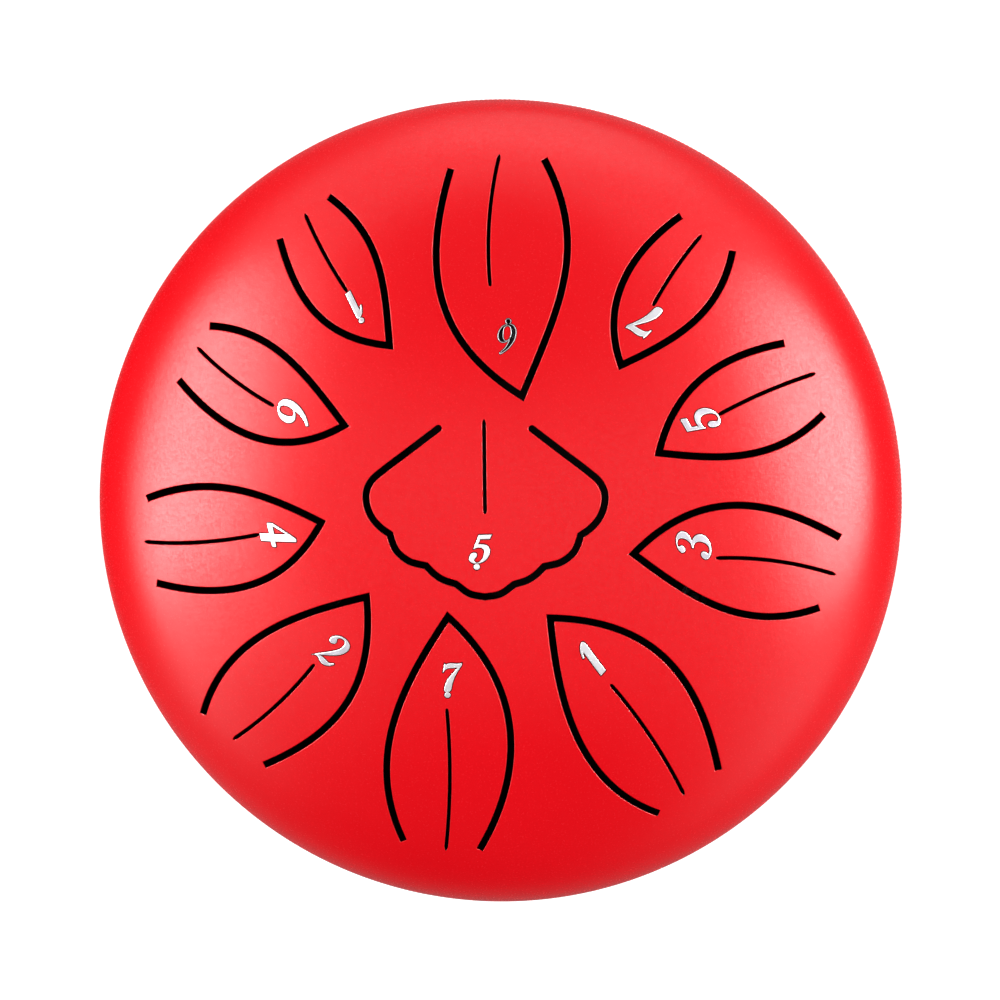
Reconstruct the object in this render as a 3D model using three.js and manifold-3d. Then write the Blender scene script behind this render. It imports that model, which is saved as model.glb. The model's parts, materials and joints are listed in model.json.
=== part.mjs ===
// Steel tongue drum: two pressed steel bowls joined by a weld round the rim.
// Eleven tongues are cut through the upper bowl: ten leaf-shaped ones in a
// ring and one scalloped one in the middle, each with a narrow vein slit and a
// foil numeral. The lower bowl has a sound hole and three screwed rubber feet.
// Millimetres, +Z up. Origin: the centre of the drum, on the floor under the feet.
import * as THREE from 'three';
import { mergeVertices } from 'three/addons/utils/BufferGeometryUtils.js';
import Module from 'manifold-3d';

// ---- bowl dimensions ----------------------------------------------------
const R = 127;            // outer radius of the bowls (a 10 inch drum)
const SHEET = 1.8;        // steel sheet thickness
const SEAM_Z = 66;        // height of the weld seam
const WALL = 6;           // straight wall each side of the seam
const WALL_TOP = SEAM_Z + WALL;
const WALL_BOTTOM = SEAM_Z - WALL;
const DOME_H = 55;        // rise of the dome above the straight wall
const DOME_N = 2.25;      // superellipse exponent of the dome
const DOME_RINGS = [22, 42, 60, 76, 90, 101.5, 110.5, 117, 121.8, 125, 126.6]; // radii
const RIM_GAP = 1.2;      // each bowl's rim stops this far from the seam plane
const BEAD_PROUD = 0.3;   // weld bead stands this far out of the wall
const BEAD_FLAT = 0.5;    // half height of the bead's outer face
const BEAD_INSIDE = 0.5;  // bead stands this far in from the wall's inner face
const BASE_Z = 9;         // underside of the lower bowl
const BASE_TOP = BASE_Z + SHEET;
const BASE_R = 82;        // radius of its flat bottom
const SOUND_R = 36;       // sound hole radius
const BOWL_FACETS = 56;   // facets round the bowls
const CORNER_STEPS = 7;   // steps from the flat bottom up to the straight wall

// ---- tongue dimensions --------------------------------------------------
const SLOT_W = 2.2;       // width of a tongue's slot
const VEIN_W = 1.2;       // width of a vein slit
const VEIN_POINT = 0.1;   // slit's end points lie this far beyond its centre line
const VEIN_SHOULDER = 0.4; // its sides stop this far short of the centre line's ends
const ROOT_GAP = 0.3;     // gap round a tongue's root strip
const ROOT_OVER = 1.5;    // root line lies this far beyond the vein's outer end
const SLOT_STEPS = 7;     // steps along each side of a leaf
const VEIN_STEPS = 5;
const BLANK_TOP = 140;    // tongue blanks run from the seam to here, above the dome
const CUT_OVER = 2;       // cutters run this far past the blanks, above and below

// ---- numeral dimensions -------------------------------------------------
const FOIL_T = 0.25;      // thickness of a foil numeral
const FOIL_GAP = 0.1;     // height of its underside over the tangent plane
const FOIL_H = 10.5;      // height of a plain numeral
const FOIL_H_DOT = 8.8;   // height of a numeral that has an octave dot
const FOIL_ASPECT = 1.1;  // widening of the numerals
const SLANT = 0.2;        // sideways lean per unit of height
const GLYPH_H = 100;      // height of the glyph outlines, in glyph units
const GLYPH_MID_X = 42;   // middle of the slanted glyphs, in glyph units
const GLYPH_STEPS = 3;    // steps along each glyph curve

// ---- foot dimensions ----------------------------------------------------
const FOOT_PCD_R = 70;    // feet sit on this radius
const FOOT_ANGLES = [90, 210, 330];
const FOOT_FACETS = 20;
const HARDWARE_FACETS = 16; // screws, washers, nut bores and drilled holes
const HOLE_R = 2.3;
const DRILL_BELOW = 5;    // reach of the drill below and above the bowl's underside
const DRILL_ABOVE = 8;
const SCREW_R = 2.0;      // M4
const SCREW_HEAD_TOP = 3.3;
const RECESS = { length: 4.4, width: 0.9, depth: 2.4 }; // cross recess, from z = 0
const WASHER = { bore: 2.15, radius: 4.5, thickness: 0.8 };
const FOOT_WASHER_Z = 3.35;
const NUT = { radius: 4.04, bore: 2.12, height: 3.2 }; // radius over the corners

// Foot section [radius, z]: the recess, the flat ring it stands on, the side.
const FOOT_PROFILE = [
  [HOLE_R, BASE_Z], [HOLE_R, 4.2], [4.9, 4.2],
  [5.0, 0], [8.2, 0],
  [8.9, 0.6], [9.3, 2.2], [9.5, 5.5], [9.2, 8.4], [8.4, BASE_Z],
];
// Screw section [radius, z]: head at the bottom, then the shank.
const SCREW_PROFILE = [
  [0, 1.1], [2.6, 1.1], [3.6, 1.7], [3.95, SCREW_HEAD_TOP],
  [SCREW_R, SCREW_HEAD_TOP], [SCREW_R, 16.4], [1.6, 17], [0, 17],
];

// ---- tongue tables ------------------------------------------------------
// Leaf tongues, in plan [x, y]. tip: the inner point. left, right: centre lines
// of the two slots, seen looking outward from the drum's centre, as cubic curves
// [outer end, handle, handle] that end at the tip. vein: the slit as a quadratic
// curve [outer end, handle, inner end]. number: [x, y, turn in degrees].
const LEAVES = {
  1: {
    tip: [19.46, -31.44],
    left: [[70.36, -80.23], [64.89, -50.26], [51.72, -31.95]],
    right: [[52.02, -93.91], [26.81, -83.44], [21.56, -55.61]],
    vein: [[59.71, -87.84], [51.31, -68.38], [37.8, -52.16]],
    number: [32.76, -43.02, 48],
  },
  2: {
    tip: [-36.76, -25.44],
    left: [[-70.89, -79.98], [-45.93, -68.06], [-34.37, -53.48]],
    right: [[-90.35, -64.57], [-81.82, -39.38], [-60.29, -31.28]],
    vein: [[-80.47, -72.0], [-65.13, -61.37], [-53.48, -46.88]],
    number: [-47.6, -42.42, -37.1],
  },
  3: {
    tip: [44.74, -11.81],
    left: [[107.32, -8.03], [85.19, 5.53], [64.09, 8.32]],
    right: [[101.07, -29.55], [78.16, -36.86], [62.16, -25.18]],
    vein: [[105.77, -19.38], [88.26, -12.92], [69.76, -13.34]],
    number: [63.0, -9.09, 87.7],
  },
  4: {
    tip: [-50.69, -2.75],
    left: [[-104.19, -23.33], [-82.03, -27.33], [-62.36, -24.46]],
    right: [[-107.18, 2.96], [-86.39, 11.55], [-69.94, 6.69]],
    vein: [[-107.88, -10.59], [-88.9, -10.93], [-70.42, -6.92]],
    number: [-64.28, -5.87, -78],
  },
  5: {
    tip: [52.29, 18.83],
    left: [[89.98, 51.69], [70.4, 48.34], [56.82, 39.07]],
    right: [[102.07, 29.95], [87.41, 15.36], [71.1, 16.67]],
    vein: [[99.31, 42.33], [84.15, 37.82], [70.25, 30.26]],
    number: [65.09, 28.51, 120],
  },
  6: {
    tip: [-43.5, 26.93],
    left: [[-96.72, 39.89], [-81.9, 24.22], [-63.81, 15.06]],
    right: [[-86.95, 56.61], [-65.79, 56.1], [-55.44, 42.12]],
    vein: [[-90.68, 49.85], [-79.32, 39.67], [-65.78, 32.59]],
    number: [-59.61, 30.48, -98],
  },
  7: {
    tip: [40.73, 45.37],
    left: [[58.24, 90.56], [43.03, 79.67], [33.88, 64.04]],
    right: [[74.04, 79.84], [70.55, 60.42], [57.14, 53.02]],
    vein: [[64.42, 84.48], [56.22, 74.68], [50.25, 63.41]],
    number: [48.25, 59.07, 150.4],
  },
  low_6: {
    tip: [10.85, 36.02],
    left: [[-12.34, 104.92], [-19.93, 75.5], [-17.12, 53.12]],
    right: [[16.18, 107.92], [31.71, 81.13], [21.21, 61.79]],
    vein: [[2.41, 109.05], [-1.45, 89.35], [0.78, 69.42]],
    number: [6.09, 53.27, -170],
  },
  low_7: {
    tip: [-11.74, -31.25],
    left: [[-3.58, -105.74], [11.61, -79.62], [11.95, -52.52]],
    right: [[-27.29, -103.36], [-38.07, -75.86], [-27.04, -54.02]],
    vein: [[-14.13, -105.92], [-10.74, -83.05], [-12.4, -60.06]],
    number: [-10.85, -50.1, 4],
  },
  high_1: {
    tip: [-29.77, 51.16],
    left: [[-65.29, 83.44], [-59.0, 64.81], [-50.67, 53.02]],
    right: [[-50.3, 96.39], [-32.68, 84.56], [-31.64, 70.24]],
    vein: [[-57.46, 90.93], [-51.31, 78.69], [-43.31, 67.55]],
    number: [-41.66, 62.94, -140],
  },
};

// Middle tongue. half: the +X half of its slot's centre line, from the bottom
// (lowest y) to the slot's end, measured from the tongue's middle line x = midX.
const LOTUS = {
  midX: -0.35,
  half: [
    [0, -25.05], [4.6, -24.15], [8.9, -21.15], [13.0, -19.8], [18.0, -15.65],
    [23.2, -14.3], [26.8, -11.5], [29.05, -6.1], [31.9, -4.1], [34.7, -0.9],
    [36.2, 3.0], [36.3, 6.8], [34.7, 10.2], [31.6, 13.0], [14.25, 26.2],
  ],
  vein: [[-0.67, 28.7], [-0.48, 14.5], [-0.3, 0.5]],
  number: [-1.44, -10.32, 2],
};

// Upright numeral outlines in glyph units, as SVG paths: [body, hole if any].
const GLYPHS = {
  1: [`M 13 -6 L 34 -6 L 34 88 C 34 98 31 104 26 105 C 15 103 6 90 1 69
    C 1 65 6 64 9 68 C 10 73 11 76 13 77 Z`],
  2: [`M 2 1 C 6 5 9 8 15 8 C 23 8 28 -1 40 -1 C 52 -1 60 6 64 20
    C 62 24 58 24 56 20 C 52 14 46 15 38 17 C 32 18.5 26 18.5 20 17
    C 32 32 60 48 60 75 C 60 94 46 105 30 105 C 12 105 1 94 1 80
    C 1 72 6 67 12 67 C 18 67 22 71 22 77 C 22 83 17 85 17 89
    C 17 94 22 97.5 28 97.5 C 36 97.5 41 90 41 79 C 41 56 18 37 2 1 Z`],
  3: [`M 22 86 C 22 91 18 93 18 95 C 19 98 23 98.5 27 98.5 C 35 98.5 40 92 40 82
    C 40 68 33 58 21 57 L 21 50 C 35 52 43 43 43 28 C 43 14 37 5 26 5
    C 22 5 19 6 18 8 C 18 10 21 13 21 18 C 21 25 17 29 11 29 C 5 29 0 24 0 16
    C 0 6 10 -2 26 -2 C 47 -2 64 10 64 29 C 64 43 55 53 42 57
    C 51 62 60 70 60 82 C 60 95 49 104.5 33 104.5 C 18 104.5 4 96 2 85
    C 2 79 6 75 11 75 C 17 75 22 80 22 86 Z`],
  4: [`M 37 -7 L 59 -7 L 60 22 L 72 22 C 76 27 76 33 73 37 L 60 37 L 60 95
    C 60 99 58 101 54 101 L 48 100 L 9 41 C 7 36 7 27 9 22 L 37 22 Z`,
  'M 38 38.5 L 19 38.5 L 38 71 Z'],
  5: [`M 15 103 L 53 103 C 54 97 53 90 51 84 L 25 84 L 22 67 C 46 71 64 57 64 35
    C 64 12 48 -2 29 -2 C 13 -2 4 8 4 22 C 4 33 8 40 14 40 C 20 40 24 35 24 28
    C 24 21 20 18 19 12 C 20 7 24 4 29 4 C 39 4 45 16 45 32
    C 45 47 36 56 21 54 C 16 53 13 51 11 49 L 8 50 Z`],
  6: [`M 50 104 C 18 93 1 64 1 36 C 1 15 14 1 32 1 C 50 1 63 15 63 34
    C 63 50 53 61 41 61 C 33 61 28 59 25 55 C 30 74 39 86 53 96 Z`,
  'M 34 9 C 25 9 21 19 21 32 C 21 45 26 53 33 53 C 40 53 44 45 44 32 C 44 18 41 9 34 9 Z'],
  7: [`M 1 69 L 5 69 C 7 78 13 83 23 83 L 45 83 C 34 65 13 47 13 13
    C 13 4 18 -2 25 -2 C 33 -2 38 3 38 12 C 38 42 46 62 61 91 L 61 102
    C 52 100 47 100 40 101 C 28 103 17 105 9 99 C 7 100 6 102 5 104 L 3 104 Z`],
  low_5: [`M 15 100 L 59 100 L 54 82 L 24 82 L 21 67 C 46 71 62 57 62 35
    C 62 12 46 -2 26 -2 C 8 -2 -2 8 -2 22 C -2 33 4 39 11 39
    C 18 39 23 34 23 27 C 23 20 18 17 17 12 C 18 7 22 4 27 4
    C 37 4 43 16 43 32 C 43 47 34 55 20 53 C 15 52 11 50 9 48 L 6 49 Z`],
  low_6: [`M 52 99 C 20 89 2 62 2 35 C 2 13 14 -2 32 -2 C 51 -2 62 13 62 33
    C 62 49 52 61 40 61 C 33 61 28 58 25 54 C 30 72 40 83 55 92 Z`,
  'M 33 6 C 24 6 20 17 20 31 C 20 45 26 54 33 54 C 40 54 44 45 44 31 C 44 15 41 6 33 6 Z'],
  high_1: [`M 13 0 L 34 0 L 34 86 C 34 95 31 102 26 102 C 15 100 5 90 0 69
    C 0 65 6 64 9 68 C 10 73 11 76 13 77 Z`],
};
GLYPHS.low_7 = GLYPHS[7];
// Octave dots in glyph units: [x, y, radius].
const DOTS = {
  low_5: [28, -12, 11.5],
  low_7: [27, -11, 11.5],
  low_6: [30, -10, 10.5],
  high_1: [23, 111, 10.5],
};
const DOT_FACETS = 12;

// ---- materials ----------------------------------------------------------
const material = (name, color, roughness, metalness) => (
  new THREE.MeshStandardMaterial({ name, color, roughness, metalness }));
// name, colour, roughness, metalness
const redCoat = () => material('red_powder_coat', 0xe0121c, 0.42, 0.0);
const foil = () => material('silver_foil', 0xdadde2, 0.12, 1.0);
const rubber = () => material('black_rubber', 0x161616, 0.85, 0.0);
const blackSteel = () => material('black_zinc_steel', 0x1b1c1e, 0.45, 1.0);

// ---- solids -------------------------------------------------------------
const wasm = await Module();
wasm.setup();

// Closed manifold solid from a geometry, whichever way its faces are wound.
function solid(geometry) {
  // Normals and uvs would keep coincident vertices apart.
  geometry.deleteAttribute('normal');
  geometry.deleteAttribute('uv');
  const merged = mergeVertices(geometry, 1e-4);
  const corners = merged.index.array;
  const triangles = [];
  for (let i = 0; i < corners.length; i += 3) {
    const [a, b, c] = corners.slice(i, i + 3);
    if (a !== b && b !== c && a !== c) triangles.push(a, b, c);
  }
  const build = () => new wasm.Manifold(new wasm.Mesh({
    numProp: 3,
    vertProperties: new Float32Array(merged.attributes.position.array),
    triVerts: new Uint32Array(triangles),
  }));
  const built = build();
  if (built.volume() >= 0) return built;
  for (let i = 0; i < triangles.length; i += 3) {
    [triangles[i], triangles[i + 1]] = [triangles[i + 1], triangles[i]];
  }
  return build();
}

function geometryOf(manifold) {
  const mesh = manifold.getMesh();
  const geometry = new THREE.BufferGeometry();
  const positions = new Float32Array(mesh.vertProperties);
  geometry.setAttribute('position', new THREE.BufferAttribute(positions, 3));
  geometry.setIndex(Array.from(mesh.triVerts));
  geometry.computeVertexNormals();
  return geometry;
}

// Turned about +Z from [radius, z] points.
function turned(profile, facets) {
  const points = profile.map(([r, z]) => new THREE.Vector2(r, z));
  return new THREE.LatheGeometry(points, facets).rotateX(Math.PI / 2);
}
const ring = (profile, facets) => turned([...profile, profile[0]], facets);

function extruded(outline, depth, hole) {
  const vectors = (points) => points.map(([x, y]) => new THREE.Vector2(x, y));
  const shape = new THREE.Shape(vectors(outline));
  if (hole) shape.holes.push(new THREE.Path(vectors(hole)));
  return new THREE.ExtrudeGeometry(shape, { depth, bevelEnabled: false });
}
const prism = (outline, z0, z1) => solid(extruded(outline, z1 - z0).translate(0, 0, z0));

// Regular polygon about the origin; a negative turn runs it clockwise.
const polygon = (radius, count, turn = 1) => Array.from({ length: count }, (_, i) => {
  const angle = (i * 2 * Math.PI) / count;
  return [radius * Math.cos(angle), turn * radius * Math.sin(angle)];
});

const group = new THREE.Group();
group.name = 'steel_tongue_drum';
function add(name, geometry, meshMaterial) {
  const mesh = new THREE.Mesh(geometry, meshMaterial);
  mesh.name = name;
  group.add(mesh);
  return mesh;
}

// ---- bowls --------------------------------------------------------------
const domeZ = (r) => WALL_TOP + DOME_H * (1 - (r / R) ** DOME_N) ** (1 / DOME_N);
function domeSlope(r) { // dz/dr
  const q = r / R;
  return -(DOME_H / R) * q ** (DOME_N - 1) * (1 - q ** DOME_N) ** (1 / DOME_N - 1);
}

function upperBowl() {
  const rim = SEAM_Z + RIM_GAP;
  const outside = [0, ...DOME_RINGS].map((r) => [r, domeZ(r)]);
  // Each inside point lies one sheet thickness along the dome's normal.
  const inside = DOME_RINGS.slice(0, -1).map((r) => {
    const slope = domeSlope(r);
    const length = Math.hypot(1, slope);
    return [r + (slope / length) * SHEET, domeZ(r) - SHEET / length];
  });
  return solid(turned([
    [0, domeZ(0) - SHEET], ...inside, [R - SHEET, WALL_TOP], [R - SHEET, rim],
    [R, rim], [R, WALL_TOP], ...outside.reverse(),
  ], BOWL_FACETS));
}

const footCentres = FOOT_ANGLES.map((degrees) => {
  const angle = THREE.MathUtils.degToRad(degrees);
  return [FOOT_PCD_R * Math.cos(angle), FOOT_PCD_R * Math.sin(angle)];
});

// Flat bottom, elliptical corner, straight wall; drilled for the feet.
function lowerBowl() {
  const rim = SEAM_Z - RIM_GAP;
  const corner = (inset) => Array.from({ length: CORNER_STEPS + 1 }, (_, i) => {
    const angle = (i / CORNER_STEPS) * Math.PI / 2;
    return [
      BASE_R + (R - BASE_R - inset) * Math.sin(angle),
      WALL_BOTTOM - (WALL_BOTTOM - BASE_Z - inset) * Math.cos(angle),
    ];
  });
  let bowl = solid(ring([
    [SOUND_R, BASE_Z], ...corner(0), [R, rim],
    [R - SHEET, rim], ...corner(SHEET).reverse(), [SOUND_R, BASE_TOP],
  ], BOWL_FACETS));
  const [bottom, top] = [BASE_Z - DRILL_BELOW, BASE_Z + DRILL_ABOVE];
  for (const [x, y] of footCentres) {
    const drill = turned([[0, bottom], [HOLE_R, bottom], [HOLE_R, top], [0, top]], HARDWARE_FACETS);
    bowl = bowl.subtract(solid(drill.translate(x, y, 0)));
  }
  return bowl;
}

// Weld bead between the two rims.
const seamWeld = () => ring([
  [R - SHEET, SEAM_Z - RIM_GAP], [R, SEAM_Z - RIM_GAP],
  [R + BEAD_PROUD, SEAM_Z - BEAD_FLAT], [R + BEAD_PROUD, SEAM_Z + BEAD_FLAT],
  [R, SEAM_Z + RIM_GAP], [R - SHEET, SEAM_Z + RIM_GAP],
  [R - SHEET - BEAD_INSIDE, SEAM_Z],
], BOWL_FACETS);

// ---- plane geometry on [x, y] points ------------------------------------
const sub = (p, q) => [p[0] - q[0], p[1] - q[1]];
const along = (p, direction, s) => [p[0] + direction[0] * s, p[1] + direction[1] * s];
const dot = (p, q) => p[0] * q[0] + p[1] * q[1];
const leftOf = ([x, y]) => [-y, x];
function heading(from, to) {
  const [x, y] = sub(to, from);
  const length = Math.hypot(x, y);
  return [x / length, y / length];
}

function bezier(points, steps) {
  const Curve = points.length === 4 ? THREE.CubicBezierCurve : THREE.QuadraticBezierCurve;
  const curve = new Curve(...points.map((p) => new THREE.Vector2(...p)));
  return curve.getPoints(steps).map((p) => [p.x, p.y]);
}

// Mitred offset of an open line, by a distance to its left.
function offset(line, distance) {
  const normals = line.slice(1).map((p, i) => leftOf(heading(line[i], p)));
  return line.map((p, i) => {
    const before = normals[Math.max(i - 1, 0)];
    const after = normals[Math.min(i, normals.length - 1)];
    const mitre = heading([0, 0], along(before, after, 1));
    return along(p, mitre, distance / dot(mitre, before));
  });
}

// ---- tongues ------------------------------------------------------------
// Slot centre lines run from one outer end round the tip to the other end,
// with the tongue on their left.
function leafLine({ tip, left, right }) {
  const inward = bezier([...left, tip], SLOT_STEPS);
  const outward = bezier([...right, tip], SLOT_STEPS).reverse();
  return [...inward, ...outward.slice(1)];
}
function lotusLine({ midX, half }) {
  const mirrored = half.slice(1).map(([x, y]) => [midX - x, y]).reverse();
  return [...mirrored, ...half.map(([x, y]) => [midX + x, y])];
}

// Outlines of the tongue and of the opening it lies in.
function tongueOutlines(line, vein) {
  const start = line[0];
  const out = leftOf(heading(start, line.at(-1)));
  const height = (p) => dot(sub(p, start), out);
  const lift = (p, level) => along(p, out, level - height(p));
  const root = Math.max(0, height(vein[0])) + ROOT_OVER;
  const near = offset(line, SLOT_W / 2);
  const far = offset(line, -SLOT_W / 2);
  // The root strip's sides keep ROOT_GAP to the bowl.
  const stripEdge = (i) => along(near.at(i), heading(near.at(i), far.at(i)), ROOT_GAP);
  const [first, last] = [stripEdge(0), stripEdge(-1)];
  return {
    tongue: [...near, lift(near.at(-1), root), lift(near[0], root)],
    opening: [...far, last, lift(last, root + ROOT_GAP), lift(first, root + ROOT_GAP), first],
  };
}

// Outline of the vein slit, with a blunt point at each end.
function slitOutline(vein) {
  const line = bezier(vein, VEIN_STEPS);
  const startHeading = heading(line[0], line[1]);
  const endHeading = heading(line.at(-2), line.at(-1));
  const side = (distance) => {
    const points = offset(line, distance);
    return [
      along(points[0], startHeading, VEIN_SHOULDER),
      ...points.slice(1, -1),
      along(points.at(-1), endHeading, -VEIN_SHOULDER),
    ];
  };
  return [
    along(line[0], startHeading, -VEIN_POINT), ...side(-VEIN_W / 2),
    along(line.at(-1), endHeading, VEIN_POINT), ...side(VEIN_W / 2).reverse(),
  ];
}

// ---- numerals -----------------------------------------------------------
function glyphPoints(path) {
  const points = [];
  for (const [, command, text] of path.matchAll(/([MLC])([^MLCZ]+)/g)) {
    const n = text.trim().split(/\s+/).map(Number);
    if (command === 'C') {
      const curve = [points.at(-1), [n[0], n[1]], [n[2], n[3]], [n[4], n[5]]];
      points.push(...bezier(curve, GLYPH_STEPS).slice(1));
    } else points.push(n);
  }
  // A path that ends on its start must not repeat that point.
  if (Math.hypot(...sub(points[0], points.at(-1))) < 1e-6) points.pop();
  return points;
}

function numeralSolid(key) {
  const scale = (DOTS[key] ? FOIL_H_DOT : FOIL_H) / GLYPH_H;
  const place = ([x, y]) => [
    (x + SLANT * y - GLYPH_MID_X) * scale * FOIL_ASPECT,
    (y - GLYPH_H / 2) * scale,
  ];
  const [body, hole] = GLYPHS[key].map((path) => glyphPoints(path).map(place));
  const digit = solid(extruded(body, FOIL_T, hole));
  if (!DOTS[key]) return digit;
  const [x, y, radius] = DOTS[key];
  const centre = place([x, y]);
  const disc = polygon(radius * scale, DOT_FACETS).map((p) => along(p, centre, 1));
  return digit.add(solid(extruded(disc, FOIL_T)));
}

// Lays a numeral on the dome's tangent plane at x, y.
function addNumeral(key, [x, y, turn]) {
  const r = Math.hypot(x, y);
  const slope = domeSlope(r);
  const normal = new THREE.Vector3(-slope * x / r, -slope * y / r, 1).normalize();
  const angle = THREE.MathUtils.degToRad(turn + 90);
  const up = new THREE.Vector3(Math.cos(angle), Math.sin(angle), 0);
  up.addScaledVector(normal, -up.dot(normal)).normalize();
  const right = new THREE.Vector3().crossVectors(up, normal);
  const mesh = add(`number_${key}`, geometryOf(numeralSolid(key)), foil());
  mesh.quaternion.setFromRotationMatrix(new THREE.Matrix4().makeBasis(right, up, normal));
  mesh.position.set(x, y, domeZ(r)).addScaledVector(normal, FOIL_GAP);
}

// ---- feet ---------------------------------------------------------------
const foot = () => solid(ring(FOOT_PROFILE, FOOT_FACETS));

function washer(z) {
  const { bore, radius, thickness } = WASHER;
  const top = z + thickness;
  return solid(ring([[bore, z], [radius, z], [radius, top], [bore, top]], HARDWARE_FACETS));
}

function screw() {
  let body = solid(turned(SCREW_PROFILE, HARDWARE_FACETS));
  for (const turn of [0, Math.PI / 2]) {
    const bar = new THREE.BoxGeometry(RECESS.length, RECESS.width, RECESS.depth);
    body = body.subtract(solid(bar.rotateZ(turn).translate(0, 0, RECESS.depth / 2)));
  }
  return body;
}

function nut() {
  const bore = polygon(NUT.bore, HARDWARE_FACETS, -1);
  const body = extruded(polygon(NUT.radius, 6), NUT.height, bore);
  return solid(body.translate(0, 0, BASE_TOP + WASHER.thickness));
}

// ---- assembly -----------------------------------------------------------
add('lower_bowl', geometryOf(lowerBowl()), redCoat());
add('seam_weld', seamWeld(), redCoat());

const upper = upperBowl();
const tongues = { low_5: { ...LOTUS, line: lotusLine(LOTUS) } };
for (const [key, leaf] of Object.entries(LEAVES)) {
  tongues[key] = { ...leaf, line: leafLine(leaf) };
}
let shell = upper;
for (const [key, { line, vein, number }] of Object.entries(tongues)) {
  const { tongue, opening } = tongueOutlines(line, vein);
  const cutter = (outline) => prism(outline, SEAM_Z - CUT_OVER, BLANK_TOP + CUT_OVER);
  const blank = upper.intersect(prism(tongue, SEAM_Z, BLANK_TOP));
  add(`tongue_${key}`, geometryOf(blank.subtract(cutter(slitOutline(vein)))), redCoat());
  addNumeral(key, number);
  shell = shell.subtract(cutter(opening));
}
add('upper_bowl', geometryOf(shell), redCoat());

footCentres.forEach(([x, y], i) => {
  const addPart = (name, part, partMaterial) => {
    add(`${name}_${i + 1}`, geometryOf(part), partMaterial).position.set(x, y, 0);
  };
  addPart('foot', foot(), rubber());
  addPart('foot_washer', washer(FOOT_WASHER_Z), blackSteel());
  addPart('foot_screw', screw(), blackSteel());
  addPart('inner_washer', washer(BASE_TOP), blackSteel());
  addPart('foot_nut', nut(), blackSteel());
});

export default group;
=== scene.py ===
"""A steel tongue drum: two bowls welded at a seam, eleven tongues cut in the top with foil
numerals on them, and three rubber feet.

The drum stands on z = 0 with its axis on Z. A lotus-shaped tongue lies in the middle of the top,
its root towards +Y, and ten leaves lie round it with their tips towards the axis.
Sizes are in mm and angles in degrees, unless said otherwise. Meshes are made in metres.
"""
import json
import math
import re
from collections import namedtuple

import bmesh
import bpy
import numpy as np
from mathutils import Matrix, Vector
from mathutils.geometry import delaunay_2d_cdt

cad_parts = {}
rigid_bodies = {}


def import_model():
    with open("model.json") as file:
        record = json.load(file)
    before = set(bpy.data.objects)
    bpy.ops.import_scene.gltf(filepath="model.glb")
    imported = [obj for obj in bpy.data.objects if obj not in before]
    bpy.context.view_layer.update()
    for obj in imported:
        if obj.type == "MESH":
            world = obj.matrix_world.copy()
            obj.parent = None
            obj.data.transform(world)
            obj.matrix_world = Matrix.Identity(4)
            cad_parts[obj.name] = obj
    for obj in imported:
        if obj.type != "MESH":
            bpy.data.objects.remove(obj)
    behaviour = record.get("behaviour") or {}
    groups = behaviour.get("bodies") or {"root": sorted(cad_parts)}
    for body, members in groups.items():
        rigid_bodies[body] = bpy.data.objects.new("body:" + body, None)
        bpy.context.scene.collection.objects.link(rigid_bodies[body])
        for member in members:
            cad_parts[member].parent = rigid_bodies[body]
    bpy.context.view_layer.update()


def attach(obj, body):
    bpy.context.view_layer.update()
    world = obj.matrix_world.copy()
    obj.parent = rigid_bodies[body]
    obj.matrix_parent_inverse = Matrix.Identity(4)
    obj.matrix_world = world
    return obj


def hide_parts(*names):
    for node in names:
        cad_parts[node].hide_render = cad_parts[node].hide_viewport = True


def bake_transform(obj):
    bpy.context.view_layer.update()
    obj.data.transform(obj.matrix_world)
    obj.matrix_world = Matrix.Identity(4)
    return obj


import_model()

MM = 0.001

# ------------------------------------------------------------------ dimensions
BOWL_R, SHEET = 127.0, 1.8            # outer radius and thickness of the steel
INSIDE_R = BOWL_R - SHEET
SEAM_Z, WALL_H = 66.0, 6.0            # the wall is upright this far above and below the seam
WALL_TOP, WALL_FOOT = SEAM_Z + WALL_H, SEAM_Z - WALL_H
DOME_H, DOME_POWER = 55.0, 2.25       # the dome is a superellipse
RIM_GAP = 1.2                         # from the seam to each bowl's rim
BASE_Z, BASE_R, SOUND_R = 9.0, 82.0, 36.0   # flat underside, and the sound hole in it
FLOOR_Z = BASE_Z + SHEET              # inside face of the underside
SLOT_W, VEIN_W = 2.2, 1.2
ROOT_OVER = 1.5                       # the root line lies this far beyond the vein
CUT_ROUND = 0.22                      # rounding of a slot's edges
VEIN_ROUND = 0.8                      # a vein's rounding, as a share of CUT_ROUND
SOUND_ROUND, SCREW_HOLE_ROUND = 0.55, 0.25
FOOT_PCD_R, FOOT_ANGLES = 70.0, (90, 210, 330)
SCREW_HOLE_R = 2.3
WASHER_T = 0.8

SEGS = 448                            # facets round the bowls
CUT_R = 115.5                         # inside this radius the top is a free triangulation
STEP = 0.95                           # point spacing along slots and veins
FINE_STEP = 0.2                       # and along numerals and the screw's recess

# Numerals
FOIL_H, FOIL_H_DOTTED, FOIL_ASPECT, SLANT = 10.5, 8.8, 1.1, 0.2
FOIL_TRIM = 0.075        # the foil stands this far inside the outline, the rest is its sloping edge, coloured dark as painted shade
TRIM_OF = {"low_6": 0.0}
FOIL_IN, FOIL_FOOT = 0.07, 0.26       # how far the edge leans in at its top and out at its foot
FOIL_RIM = 0.24                       # width of the pressed rim

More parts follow.
